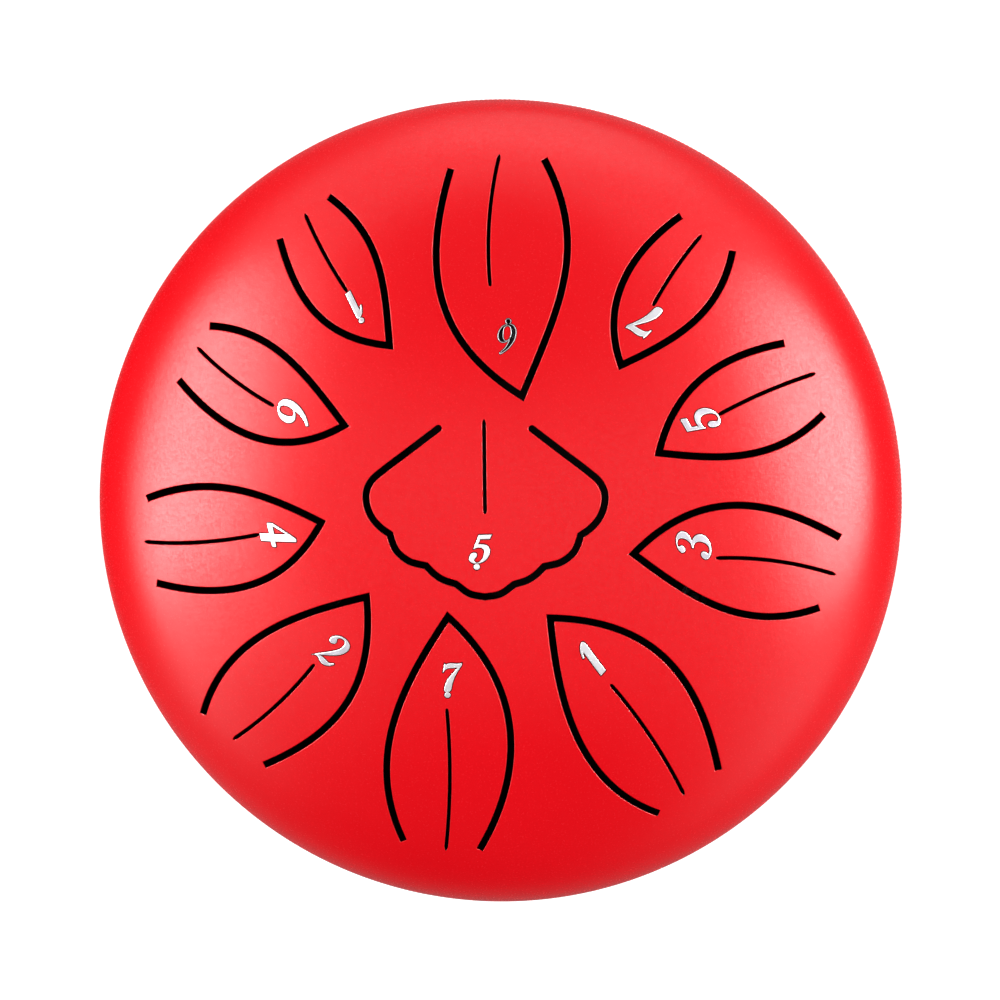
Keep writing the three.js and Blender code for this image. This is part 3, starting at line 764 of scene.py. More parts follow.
def place(name, verts, faces, materials, mats=None, sharp=35):
    mesh = bpy.data.meshes.new(name)
    mesh.from_pydata([tuple(float(c) * MM for c in vert) for vert in verts], [],
                     [tuple(int(i) for i in face) for face in faces])
    for material in materials:
        mesh.materials.append(material)
    if mats is not None:
        mesh.polygons.foreach_set("material_index", mats)
    mesh.polygons.foreach_set("use_smooth", [True] * len(faces))
    mesh.set_sharp_from_angle(angle=math.radians(sharp))
    mesh.update()
    return link_object(name, mesh)


def rings_to_mesh(rings):
    """Quads between rings, and from the last ring to the first."""
    count = len(rings[0])
    faces = []
    for k in range(len(rings)):
        start, after = k * count, ((k + 1) % len(rings)) * count
        for i in range(count):
            j = (i + 1) % count
            faces.append((start + i, after + i, after + j, start + j))
    return np.vstack(rings), faces


def turned(name, profile, segs, centre, material):
    """A closed profile, anticlockwise in radius and z, turned about an upright axis."""
    rings = [ring(radius, z, segs) + (*centre, 0.0) for radius, z in profile[::-1]]
    return place(name, *rings_to_mesh(rings), [material])


def register(piece, part, rides="drum_body"):
    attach(piece, rides)
    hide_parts(part)


# ------------------------------------------------------------------ numerals
def glyph_points(contour):
    points = []
    for command, numbers in re.findall(r"([MLC])([^MLC]*)", contour):
        given = np.array(numbers.split(), float).reshape(-1, 2)
        points += list(bezier([points[-1], *given], 12)[1:] if command == "C" else given)
    if np.linalg.norm(points[0] - points[-1]) < 1e-6:
        points.pop()
    return np.array(points)


def outward(loop):
    """Outward mitres of a loop that runs either way."""
    return mitre(loop) if area(loop) > 0 else mitre(loop[::-1])[::-1]


def numeral_loops(key, trim):
    """The solid loops and the holes of a numeral, in mm from its centre."""
    dot = DOTS.get(key)
    scale = (FOIL_H_DOTTED if dot else FOIL_H) / 100

    def put(points):
        x, y = points.T
        return np.stack([(x + SLANT * y - GLYPH_CENTRE[0]) * scale * FOIL_ASPECT,
                         (y - GLYPH_CENTRE[1]) * scale], -1)

    contours = GLYPHS.get(key, GLYPHS[key[-1]]).split("Z")[:-1]
    loops = [fine_loop(put(glyph_points(contour))) for contour in contours]
    solid, holes = loops[:1], loops[1:]
    if dot:
        solid.append(put(np.array([dot[:2]], float))[0] + circle(dot[2] * scale, 48))
    return ([loop - outward(loop) * trim for loop in solid],
            [loop + outward(loop) * trim for loop in holes])


def triangulate_numeral(solid, holes):
    """Rows of points follow the outline and a triangular grid fills the rest."""
    loops = solid + holes

    def covered(points):
        found = np.any([inside(points, loop) for loop in solid], 0)
        for hole in holes:
            found &= ~inside(points, hole)
        return found

    def edge_distance(points):
        return segment_distance(points, np.vstack(loops),
                                np.vstack([np.roll(loop, -1, 0) for loop in loops]))

    layout = Layout()
    for loop in loops:
        layout.add_loop(loop)
    rows = np.vstack([loop + outward(loop) * np.sign(area(loop)) * offset * sign
                      for loop in loops for offset in (0.1, 0.2, 0.3) for sign in (1, -1)])
    spacing, pitch = 0.085, 0.17      # least gap between row points, and the grid's pitch
    taken = Nearby(spacing)
    for point in rows[covered(rows) & (edge_distance(rows) > spacing)]:
        if not taken.has(point):
            taken.add(point)
            layout.add([point])
    low, high = rows.min(0), rows.max(0)
    x, y = np.meshgrid(np.arange(low[0], high[0], pitch),
                       np.arange(low[1], high[1], pitch * 0.866))
    x = x + (np.arange(x.shape[0]) % 2)[:, None] * pitch / 2
    grid = np.stack([x.ravel(), y.ravel()], -1)
    layout.add(grid[covered(grid) & (edge_distance(grid) > 0.34)])
    xy, triangles = layout.triangulate(eps=1e-5, crossing_lines=True)
    triangles = triangles[covered(xy[triangles].mean(1))]
    used, renumbered = np.unique(triangles, return_inverse=True)
    return xy[used], renumbered.reshape(-1, 3)


def foil_numeral(key, centre_x, centre_y, turn, materials):
    """A pressed sheet of foil lying on the dome, its edge running out to a thin foot."""
    trim = TRIM_OF.get(key, FOIL_TRIM)
    xy, triangles = triangulate_numeral(*numeral_loops(key, trim))
    sides = set()
    for a, b, c in triangles:
        sides |= {(a, b), (b, c), (c, a)}
    sides = sorted((a, b) for a, b in sides if (b, a) not in sides)
    depth = segment_distance(xy, xy[[a for a, b in sides]], xy[[b for a, b in sides]])

    # a plane touching the dome at the numeral's centre, with its own up and right
    axis = outer_normal(np.array(centre_x), np.array(centre_y))
    angle = math.radians(turn + 90)
    up = np.array([math.cos(angle), math.sin(angle), 0.0])
    up = unit(up - axis * (up @ axis))
    right = np.cross(up, axis)
    centre = np.array([centre_x, centre_y, float(dome_z(math.hypot(centre_x, centre_y)))])
    foot = centre + xy[:, :1] * right + xy[:, 1:] * up
    # Newton steps along the axis down to the dome
    for _ in range(6):
        radius = np.hypot(foot[:, 0], foot[:, 1])
        outwards = (foot[:, 0] * axis[0] + foot[:, 1] * axis[1]) / np.maximum(radius, 1e-9)
        slope = axis[2] - dome_slope(radius) * outwards
        foot = foot - ((foot[:, 2] - dome_z(radius)) / slope)[:, None] * axis
    normals = outer_normal(foot[:, 0], foot[:, 1])
    height = 0.10 + 0.035 * np.sin(np.minimum(depth / 0.3, 1) * math.pi / 2)

    flare = np.zeros_like(xy)
    for a, b in sides:
        away = -left_of(unit(xy[b] - xy[a]))
        flare[a] += away
        flare[b] += away
    on_edge = np.linalg.norm(flare, axis=1) > 1e-6
    flare[on_edge] = unit(flare[on_edge])
    flare = flare[:, :1] * right + flare[:, 1:] * up
    top = foot + normals * height[:, None] - flare * FOIL_IN
    bottom = foot - normals * 0.006 + flare * (FOIL_FOOT - FOIL_TRIM + trim)

    count = len(xy)
    faces = [tuple(tri) for tri in triangles] + [tuple(tri[::-1] + count) for tri in triangles]
    faces += [(a + count, b + count, b, a) for a, b in sides]
    # the sloping edge and the underside take the dark painted shade round the foil's foot
    face, rim, foot_shade = 0, 1, 2
    mats = [rim if depth[tri].max() < FOIL_RIM else face for tri in triangles]
    mats += [foot_shade] * (len(triangles) + len(sides))
    return place(f"foil_{key}", np.vstack([top, bottom]), faces, materials, mats, sharp=40)


# ------------------------------------------------------------------ shader nodes
class Nodes:
    """The emptied node tree of a material or world. An input is given a value or a socket."""

    def __init__(self, owner):
        owner.use_nodes = True
        self.tree = owner.node_tree
        self.tree.nodes.clear()

    def add(self, kind, inputs=None, **props):
        made = self.tree.nodes.new("ShaderNode" + kind)
        for name, value in props.items():
            setattr(made, name, value)
        for name, value in (inputs or {}).items():
            if isinstance(value, bpy.types.NodeSocket):
                self.tree.links.new(value, made.inputs[name])
            else:
                made.inputs[name].default_value = value
        return made

    def math(self, operation, *values):
        return self.add("Math", dict(enumerate(values)), operation=operation).outputs[0]

    def ramp(self, value, span=(0.3, 0.7), to=(0.0, 1.0), smooth=True):
        """The span of the value mapped to another one, held at its ends."""
        inputs = {"Value": value, "From Min": span[0], "From Max": span[1],
                  "To Min": to[0], "To Max": to[1]}
        kind = "SMOOTHSTEP" if smooth else "LINEAR"
        return self.add("MapRange", inputs, interpolation_type=kind).outputs["Result"]

    def mix(self, share, low, high):
        """From one colour to the other. Each is an RGB triple or a socket."""
        low, high = ((*c, 1) if isinstance(c, tuple) else c for c in (low, high))
        return self.add("Mix", {0: share, 6: low, 7: high}, data_type="RGBA").outputs[2]

    def vector(self, operation, *values):
        return self.add("VectorMath", dict(enumerate(values)), operation=operation).outputs

    def rig_vector(self, vector):
        """A world direction in the camera's axes."""
        turned_vector = self.add("VectorTransform", {"Vector": vector}, vector_type="VECTOR",
                                 convert_from="WORLD", convert_to="CAMERA").outputs[0]
        return self.vector("MULTIPLY", turned_vector, (1.0, 1.0, -1.0))[0]

    def lobe(self, vector, azimuth, polar, inner, outer, peak):
        """The peak within the inner angle of a direction, falling smoothly to 0 at the outer."""
        facing = self.vector("DOT_PRODUCT", vector, on_rig(direction(azimuth, polar)))["Value"]
        span = math.cos(math.radians(outer)), math.cos(math.radians(inner))
        return self.ramp(facing, span, to=(0.0, peak))


class Look(Nodes):
    """A material made of noise in object space. Bump distances are in metres."""

    def __init__(self, name):
        self.material = bpy.data.materials.new(name)
        super().__init__(self.material)
        self.coords = self.add("TexCoord").outputs["Object"]

    def noise(self, scale, detail, roughness=0.5):
        return self.add("TexNoise", {"Vector": self.coords, "Scale": scale, "Detail": detail,
                                     "Roughness": roughness}).outputs["Fac"]

    def bump(self, height, distance, normal=None):
        inputs = {"Height": height, "Distance": distance, "Strength": 1.0}
        if normal is not None:
            inputs["Normal"] = normal
        return self.add("Bump", inputs).outputs["Normal"]

    def finish(self, color, roughness, normal, specular=0.5, metallic=0.0):
        shader = self.add("BsdfPrincipled", {
            "Base Color": color, "Roughness": roughness, "Normal": normal,
            "Specular IOR Level": specular, "Metallic": metallic})
        self.add("OutputMaterial", {"Surface": shader.outputs[0]})
        return self.material


def red_coat():
    look = Look("red_powder_coat_look")
    broad = look.noise(scale=28, detail=2)
    peel = look.noise(scale=620, detail=1, roughness=0.4)
    grain = look.noise(scale=1500, detail=2, roughness=0.6)
    speck = look.noise(scale=3100, detail=1)
    color = look.mix(look.ramp(broad), low=(0.755, 0.0008, 0.0058), high=(0.79, 0.0012, 0.0068))
    color = look.mix(look.ramp(grain, span=(0.25, 0.75)), low=(0.745, 0.0008, 0.0056), high=color)
    rough = look.math("ADD", look.ramp(grain, to=(0.215, 0.265)),
                      look.ramp(speck, span=(0.35, 0.7), to=(0.0, 0.02)))
    normal = look.bump(peel, distance=0.00002)
    normal = look.bump(grain, distance=0.000024, normal=normal)
    normal = look.bump(speck, distance=0.00001, normal=normal)
    # the powder's grain breaks up the highlights
    coarse_share, fine_share = 0.6, 0.4
    mottle = look.math(
        "ADD", look.math("MULTIPLY", look.noise(scale=1150, detail=1), coarse_share),
        look.math("MULTIPLY", look.noise(scale=2300, detail=1), fine_share))
    gloss = look.ramp(mottle, span=(0.40, 0.60), to=(0.249, 0.371), smooth=False)
    return look.finish(color, rough, normal, specular=gloss)


def cut_edge():
    look = Look("cut_edge_look")
    # stretched in z, so that striations run down the wall
    look.coords = look.add("Mapping", {"Vector": look.coords,
                                       "Scale": (1, 1, 0.04)}).outputs["Vector"]
    lines = look.noise(scale=4200, detail=2)
    # The wall is near black: its own dark colour, darkened further as painted shade so that the
    # slots look black.
    color = look.mix(look.ramp(lines), low=(0.007, 0.0010, 0.0012), high=(0.022, 0.0022, 0.0028))
    return look.finish(color, roughness=0.6, normal=look.bump(lines, distance=0.000012),
                       specular=0.1)


def dark_steel_and_painted_shade():
    # The inside of the sheet is dark unpainted steel, coloured darker still and without shine as
    # painted shade, so the inside seen through the slots and the sound hole is black.
    look = Look("dark_steel_and_painted_shade_look")
    broad = look.noise(scale=40, detail=4, roughness=0.6)
    fine = look.noise(scale=1800, detail=3, roughness=0.6)
    color = look.mix(look.ramp(broad), low=(0.004, 0.0038, 0.004), high=(0.012, 0.011, 0.0105))
    rough = look.math("ADD", look.ramp(broad, to=(0.55, 0.7)), look.ramp(fine, to=(0.0, 0.1)))
    return look.finish(color, rough, look.bump(fine, distance=0.000012), specular=0.0)


def foil(name, dark, light, metallic, rough_from):
    """Metallised film."""
    look = Look(name)
    wave = look.noise(scale=260, detail=2)
    fine = look.noise(scale=2600, detail=2, roughness=0.6)
    color = look.mix(look.ramp(wave), dark, light)
    rough = look.math("ADD",
                      look.ramp(fine, span=(0.35, 0.7), to=(rough_from, rough_from + 0.06)),
                      look.ramp(wave, span=(0.4, 0.7), to=(0.0, 0.05)))
    normal = look.bump(wave, distance=0.00003)
    normal = look.bump(fine, distance=0.0000012, normal=normal)
    return look.finish(color, rough, normal, metallic=metallic)


def foil_foot_shade():
    """The foil's sloping edge and underside, coloured as a dark line of painted shade round its
    foot.
    """
    look = Look("foil_foot_shade_look")
    spots = look.noise(scale=2200, detail=3, roughness=0.6)
    color = look.mix(look.ramp(spots), low=(0.028, 0.0015, 0.003), high=(0.07, 0.004, 0.008))
    return look.finish(color, roughness=0.6, normal=look.bump(spots, distance=0.000008),
                       specular=0.05)


def rubber():
    look = Look("black_rubber_look")
    fine = look.noise(scale=2400, detail=4, roughness=0.7)
    dust = look.noise(scale=190, detail=5, roughness=0.65)
    color = look.mix(look.ramp(dust, span=(0.5, 0.8)),
                     low=(0.011, 0.011, 0.012), high=(0.032, 0.031, 0.03))
    rough = look.math("ADD", look.ramp(dust, span=(0.3, 0.8), to=(0.62, 0.78)),
                      look.ramp(fine, to=(0.0, 0.1)))
    return look.finish(color, rough, look.bump(fine, distance=0.00004), specular=0.18)


def black_zinc_and_painted_shade():
    look = Look("black_zinc_and_painted_shade_steel_look")
    cloud = look.noise(scale=700, detail=4, roughness=0.6)
    fine = look.noise(scale=6000, detail=2, roughness=0.6)
    # The hardware is near black: a black zinc finish, and inside the drum also painted shade, so the
    # nuts and washers there look black through the slots.
    color = look.mix(look.ramp(cloud), low=(0.018, 0.019, 0.022), high=(0.042, 0.041, 0.043))
    rough = look.math("ADD", look.ramp(cloud, to=(0.34, 0.48)), look.ramp(fine, to=(0.0, 0.06)))
    return look.finish(color, rough, look.bump(fine, distance=0.000003), metallic=0.75)


COAT_LOOK, EDGE_LOOK, STEEL_LOOK = red_coat(), cut_edge(), dark_steel_and_painted_shade()
SHEET_MATS = [COAT_LOOK, EDGE_LOOK, STEEL_LOOK]
RIM_LOOK = foil("silver_foil_rim_look", dark=(0.93, 0.92, 0.93), light=(0.98, 0.97, 0.97),
                metallic=0.5, rough_from=0.28)
FOIL_FOOT_SHADE_LOOK = foil_foot_shade()
BRIGHT_FOIL = foil("silver_foil_look", dark=(0.80, 0.785, 0.82), light=(0.88, 0.865, 0.885),
                   metallic=0.48, rough_from=0.14)
# the same silver foil, painted grey and near black as reflections of dark surroundings
PAINTED_GREY_REFLECTION_FOIL = foil("silver_foil_painted_grey_reflection_look", dark=(0.46, 0.445, 0.50), light=(0.59, 0.57, 0.62),
                 metallic=0.55, rough_from=0.14)
PAINTED_DARK_REFLECTION_FOIL = foil("silver_foil_painted_dark_reflection_look", dark=(0.10, 0.095, 0.11), light=(0.23, 0.22, 0.24),
                 metallic=1.0, rough_from=0.08)
PAINTED_GREY_REFLECTION_RIM = foil("silver_foil_rim_painted_grey_reflection_look", dark=(0.46, 0.45, 0.47), light=(0.60, 0.59, 0.61),
                metallic=0.5, rough_from=0.28)
# numerals whose silver foil is painted grey or near black: painted reflections of dark surroundings
FACE_OF = {"low_6": PAINTED_DARK_REFLECTION_FOIL, "5": PAINTED_GREY_REFLECTION_FOIL, "3": PAINTED_GREY_REFLECTION_FOIL, "2": PAINTED_GREY_REFLECTION_FOIL}
RIM_OF = {"low_6": PAINTED_GREY_REFLECTION_RIM}
RUBBER_LOOK, ZINC_LOOK = rubber(), black_zinc_and_painted_shade()


# ------------------------------------------------------------------ bowls and tongues
def rim_profile(first_r, last_r, side):
    """The rounded rim of a bowl, above (side 1) or below (side -1) the seam."""
    wall_z, edge_z = SEAM_Z + side * 2.0, SEAM_Z + side * RIM_GAP
    return rounded([(first_r, wall_z, 0), (first_r, edge_z, 0.25),
                    (last_r, edge_z, 0.25), (last_r, wall_z, 0)], steps=3).tolist()


def upper_bowl(xy, triangles, ring_ids):
    bowl = SheetMesh(xy, triangles, DOME_SHEET)
    for tongue in TONGUES:
        bowl.tongue_walls(tongue, tongue.bowl_side, flip=True)
    band_z = SEAM_Z + 4.4
    outer_r = BOWL_R * np.sin(np.linspace(math.asin(CUT_R / BOWL_R), math.pi / 2, 22))
    inner_r = INSIDE_R * np.sin(np.linspace(math.pi / 2, math.asin(CUT_R / INSIDE_R), 22))
    outside = [[radius, float(dome_z(radius))] for radius in outer_r[:-1]]
    outside += [[BOWL_R, WALL_TOP], [BOWL_R, band_z], [BOWL_R, SEAM_Z + 2.6]]
    within = [[INSIDE_R, band_z], [INSIDE_R, WALL_TOP]]
    within += [[radius, float(inner_z(radius))] for radius in inner_r[1:]]
    rim = rim_profile(BOWL_R, INSIDE_R, 1)
    bowl.turned_skin(ring_ids, outside + rim + within, switch=len(outside) + 6)
    register(bowl.make("upper_bowl_look"), "upper_bowl")


def add_tongue(xy, tongue):
    sheet = SheetMesh(xy, tongue.triangles, DOME_SHEET)
    sheet.tongue_walls(tongue, tongue.tongue_side, flip=False)
    sheet.cut_walls(tongue.vein, tongue.vein_mitres, tongue.vein_ids, CUT_ROUND * VEIN_ROUND)
    key = tongue.key
    piece = sheet.make(f"tongue_{key}_look")
    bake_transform(piece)
    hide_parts(f"tongue_{key}")
    looks = [FACE_OF.get(key, BRIGHT_FOIL), RIM_OF.get(key, RIM_LOOK), FOIL_FOOT_SHADE_LOOK]
    register(foil_numeral(key, *tongue.numeral, looks), f"number_{key}",
             rides=f"note_{key}")


def foot_centre(angle):
    angle = math.radians(angle)
    return FOOT_PCD_R * np.array([math.cos(angle), math.sin(angle)])


def lower_bowl():
    layout = Layout()
    # loop, mitres, rounding and wall material of each hole
    holes = []
    sound_hole = circle(SOUND_R, 320)
    # the sound hole's wall takes the inside's near-black colour, as painted shade
    holes.append((sound_hole, mitre(sound_hole), SOUND_ROUND, INNER))
    for angle in FOOT_ANGLES:
        loop = foot_centre(angle) + circle(SCREW_HOLE_R, 40)
        holes.append((loop, mitre(loop), SCREW_HOLE_ROUND, COAT))
    edges = [loop + mitres * rounding for loop, mitres, rounding, _ in holes]
    hole_ids = [layout.add_loop(edge) for edge in edges]
    ring_ids = layout.add_loop(circle(BASE_R, SEGS))
    fill = layout.fill_points(BASE_R, step=3.0, clearance=1.6)
    fill = fill[np.hypot(*fill.T) > SOUND_R + 1.5]
    for loop, *_ in holes[1:]:
        fill = fill[np.hypot(*(fill - loop.mean(0)).T) > 3.2]
    layout.add(fill)
    xy, triangles = layout.triangulate()
    centres = xy[triangles].mean(1)
    in_hole = np.any([inside(centres, edge) for edge in edges], 0)

    bowl = SheetMesh(xy, triangles[~in_hole], BASE_SHEET)
    for (loop, mitres, rounding, wall), ids in zip(holes, hole_ids):
        bowl.cut_walls(loop, mitres, ids, rounding, wall=wall)
    angles = np.linspace(0, math.pi / 2, 34)

    def quarter(z, wall_r, turns):
        """An elliptic quarter from the flat base, at height z, up to the wall."""
        return [[BASE_R + (wall_r - BASE_R) * math.sin(a), WALL_FOOT - (WALL_FOOT - z) * math.cos(a)]
                for a in turns]

    band_z = SEAM_Z - 3.5
    within = quarter(FLOOR_Z, INSIDE_R, angles) + [[INSIDE_R, band_z]]
    outside = [[BOWL_R, band_z]] + quarter(BASE_Z, BOWL_R, angles[::-1])
    rim = rim_profile(INSIDE_R, BOWL_R, -1)
    bowl.turned_skin(ring_ids, within + rim + outside, switch=len(within) + 4)
    register(bowl.make("lower_bowl_look"), "lower_bowl")


def seam_weld():
    """A rippled bead outside and a smooth one inside."""
    ripples = 532
    columns = 6 * ripples
    around = np.arange(columns) * 2 * math.pi / columns
    swell = 0.5 + 0.5 * np.sin(23 * around + 1.3) * np.sin(37 * around)
    bead = []
    for u in np.linspace(0, math.pi, 11):
        wave = np.cos(ripples * around - 1.5 * math.cos(u) ** 2) * 0.5 + 0.5
        crest = BOWL_R + 0.29 * math.sin(u) ** 0.8
        radius = crest - (0.07 * (1 - wave) + 0.03 * swell) * math.sin(u)
        bead.append(ring(radius, SEAM_Z + RIM_GAP * math.cos(u), columns))
    for depth, rise in ((0, -RIM_GAP), (0.35, -0.7), (0.5, 0), (0.35, 0.7), (0, RIM_GAP)):
        bead.append(ring(INSIDE_R - depth, SEAM_Z + rise, columns))
    piece = place("seam_weld_look", *rings_to_mesh(bead), [COAT_LOOK], sharp=50)
    register(piece, "seam_weld")


TOP_XY, BOWL_TRIANGLES, TOP_RING = lay_out_top()
upper_bowl(TOP_XY, BOWL_TRIANGLES, TOP_RING)
for tongue in TONGUES:
    add_tongue(TOP_XY, tongue)
lower_bowl()
seam_weld()

# ------------------------------------------------------------------ feet and their screws
# radius, z and rounding
FOOT_PROFILE = rounded([
    (SCREW_HOLE_R, BASE_Z, 0.1), (SCREW_HOLE_R, 4.2, 0.1), (4.9, 4.2, 0.2), (5.0, 0, 0.45),
    (8.2, 0, 0.3), (8.9, 0.6, 0.8), (9.3, 2.2, 1.5), (9.5, 5.5, 2.0), (9.2, 8.4, 0.8),
    (8.4, BASE_Z, 0.3)], steps=5)


def washer(z):
    top, bore_r, outer_r = z + WASHER_T, 2.15, 4.5
    return rounded([(bore_r, z, 0.08), (outer_r, z, 0.22), (outer_r, top, 0.22),
                    (bore_r, top, 0.08)], steps=4)


def nut_mesh():
    count = 96
    sixth = math.pi / 3
    around = np.arange(count) * 2 * math.pi / count
    corner_r, cut_r, face_r = 4.04, 3.99, 3.38     # corners, cut corners, flat round face
    bore_r, bore_mouth_r = 2.12, 2.42
    hexagon = corner_r * math.cos(sixth / 2) / np.cos((around + sixth / 2) % sixth - sixth / 2)
    hexagon = np.minimum(hexagon, cut_r)
    low = FLOOR_Z + WASHER_T
    high = low + 3.2
    drop = np.maximum(hexagon - face_r, 0) * 0.5
    rings = [(bore_r, high - 0.3), (bore_mouth_r, high), (face_r, high), (hexagon, high - drop),
             (hexagon, high - drop - 0.25), (hexagon, low + drop + 0.25), (hexagon, low + drop),
             (face_r, low), (bore_mouth_r, low), (bore_r, low + 0.3)]
    return rings_to_mesh([ring(radius, z, count) for radius, z in rings])


def recess_outline():
    """The screw's cross recess, with its corners cut."""
    arm, half, cut = 2.2, 0.45, 0.2
    corners = []
    for quarter in range(4):
        cos, sin = math.cos(quarter * math.pi / 2), math.sin(quarter * math.pi / 2)
        for x, y in ((half, -half), (arm - cut, -half), (arm, -half + cut), (arm, half - cut),
                     (arm - cut, half)):
            corners.append([x * cos - y * sin, x * sin + y * cos])
    return fine_loop(np.array(corners))


def shank_rings(neck_z):
    """Radius and z of the rings from the head's rim up to the tip."""
    rings = [(3.93, neck_z - 0.06), (3.8, neck_z), (2.05, neck_z)]
    pitch, major, minor = 0.7, 1.99, 1.63
    turns = np.arange(SCREW_SEGS) * 2 * math.pi / SCREW_SEGS / (2 * math.pi)
    for z in np.arange(neck_z + 0.12, 16.4, pitch / 8):
        tooth = 1 - np.abs(2 * ((z / pitch - turns) % 1.0) - 1)
        tooth = np.clip(tooth * 1.35 - 0.12, 0, 1)
        # the thread runs out to full width at the head and to its root at the tip
        fade = min(1.0, (z - neck_z) / 1.0, max(0.0, (16.9 - z) / 0.8))
        plain = 1.0 if z < 8 else 0.0
        rings.append((minor + (major - minor) * (tooth * fade + (1 - fade) * plain), z))
    return rings + [(1.6, 16.7), (1.35, SCREW_TIP_Z)]


SCREW_SEGS, SCREW_TIP_Z = 64, 17.0


def screw_mesh():
    """A screw pointing up, its domed head with a cross recess below."""
    head_r, low, neck_z = 3.95, 1.1, 3.3
    rim_z, power = neck_z - 0.15, 2.6
    cross = recess_outline()
    layout = Layout()
    layout.add_loop(cross)
    rim_ids = layout.add_loop(circle(head_r, SCREW_SEGS))
    fill = layout.fill_points(head_r, step=0.28, clearance=0.16)
    layout.add(fill[~inside(fill, cross)])
    xy, triangles = layout.triangulate()
    triangles = triangles[~inside(xy[triangles].mean(1), cross)]
    share = np.minimum(np.hypot(*xy.T) / head_r, 1)
    bulge = np.maximum(1 - share ** power, 0) ** (1 / power)

    recess_floor = cross * 0.62
    floor_layout = Layout()
    floor_layout.add_loop(recess_floor)
    floor_xy, floor_triangles = floor_layout.triangulate()
    floor_triangles = floor_triangles[inside(floor_xy[floor_triangles].mean(1), recess_floor)]

    count = len(cross)
    middle = len(xy)
    deep = middle + count
    start = deep + count
    blocks = [np.c_[xy, rim_z - (rim_z - low) * bulge],
              np.c_[cross * 0.7, np.full(count, 1.95)],
              np.c_[recess_floor, np.full(count, 2.3)]]
    faces = [tuple(tri[::-1]) for tri in triangles]
    for i in range(count):
        j = (i + 1) % count
        faces.append((middle + i, middle + j, j, i))
        faces.append((deep + i, deep + j, middle + j, middle + i))
    faces += [tuple(tri[::-1] + deep) for tri in floor_triangles]

    rows = [rim_ids]
    for radius, z in shank_rings(neck_z):
        blocks.append(ring(radius, z, SCREW_SEGS))
        rows.append(range(start, start + SCREW_SEGS))
        start += SCREW_SEGS
    for row, above in zip(rows[:-1], rows[1:]):
        for i in range(SCREW_SEGS):
            j = (i + 1) % SCREW_SEGS
            faces.append((row[i], row[j], above[j], above[i]))
    blocks.append([[0.0, 0.0, SCREW_TIP_Z]])
    for i in range(SCREW_SEGS):
        faces.append((rows[-1][i], rows[-1][(i + 1) % SCREW_SEGS], start))
    return np.vstack(blocks), faces


NUT_VERTS, NUT_FACES = nut_mesh()
SCREW_VERTS, SCREW_FACES = screw_mesh()
for i, angle in enumerate(FOOT_ANGLES):
    number = i + 1
    centre = foot_centre(angle)
    # each nut and screw is turned differently
    spin = math.radians(17 + 41 * i)
    turn = np.array([[math.cos(spin), math.sin(spin), 0], [-math.sin(spin), math.cos(spin), 0],
                     [0, 0, 1]])
    offset = np.array([*centre, 0.0])
    register(turned(f"foot_{number}_look", FOOT_PROFILE, 96, centre, RUBBER_LOOK),
             f"foot_{number}")
    for part, z in (("foot_washer", 3.35), ("inner_washer", FLOOR_Z)):
        register(turned(f"{part}_{number}_look", washer(z), 72, centre, ZINC_LOOK),
                 f"{part}_{number}")
    for part, verts, faces, sharp in (("foot_nut", NUT_VERTS, NUT_FACES, 30),
                                      ("foot_screw", SCREW_VERTS, SCREW_FACES, 38)):
        register(place(f"{part}_{number}_look", verts @ turn + offset, faces, [ZINC_LOOK],
                       sharp=sharp),
                 f"{part}_{number}")

# ------------------------------------------------------------------ camera
scene = bpy.context.scene
scene.view_settings.view_transform = "Standard"
scene.view_settings.look = "None"
scene.view_settings.exposure = 0
scene.view_settings.gamma = 1


def direction(azimuth, polar):
    """Azimuth from +X towards +Y, polar angle from +Z."""
    around, down = math.radians(azimuth), math.radians(polar)
    return (math.sin(down) * math.cos(around), math.sin(down) * math.sin(around),
            math.cos(down))


# It looks down at the seam's centre, tilted a little towards +X and +Y
CAMERA_DISTANCE, CAMERA_TILT = 1320, 5.7
AWAY = np.array(direction(azimuth=45, polar=CAMERA_TILT))
RIG_UP = unit(np.array([0, 1.0, 0]) - AWAY[1] * AWAY)
RIG_RIGHT = np.cross(RIG_UP, AWAY)
eye = (np.array([0, 0, SEAM_Z]) + CAMERA_DISTANCE * AWAY) * MM
camera_data = bpy.data.cameras.new("camera")
camera = link_object("camera", camera_data)
camera.matrix_world = Matrix(np.vstack([np.c_[RIG_RIGHT, RIG_UP, AWAY, eye],
                                        [0, 0, 0, 1]]).tolist())
camera_data.lens, camera_data.sensor_width = 149.387, 36.0
camera_data.shift_x, camera_data.shift_y = -0.00013, 0.000938
camera_data.clip_start, camera_data.clip_end = 0.05, 60.0
scene.camera = camera


def on_rig(vector):
    """A world direction in this camera's axes. The lights hang on the camera, so a view from
    the side is lit from that side."""
    return tuple(float(np.dot(axis, vector)) for axis in (RIG_RIGHT, RIG_UP, AWAY))


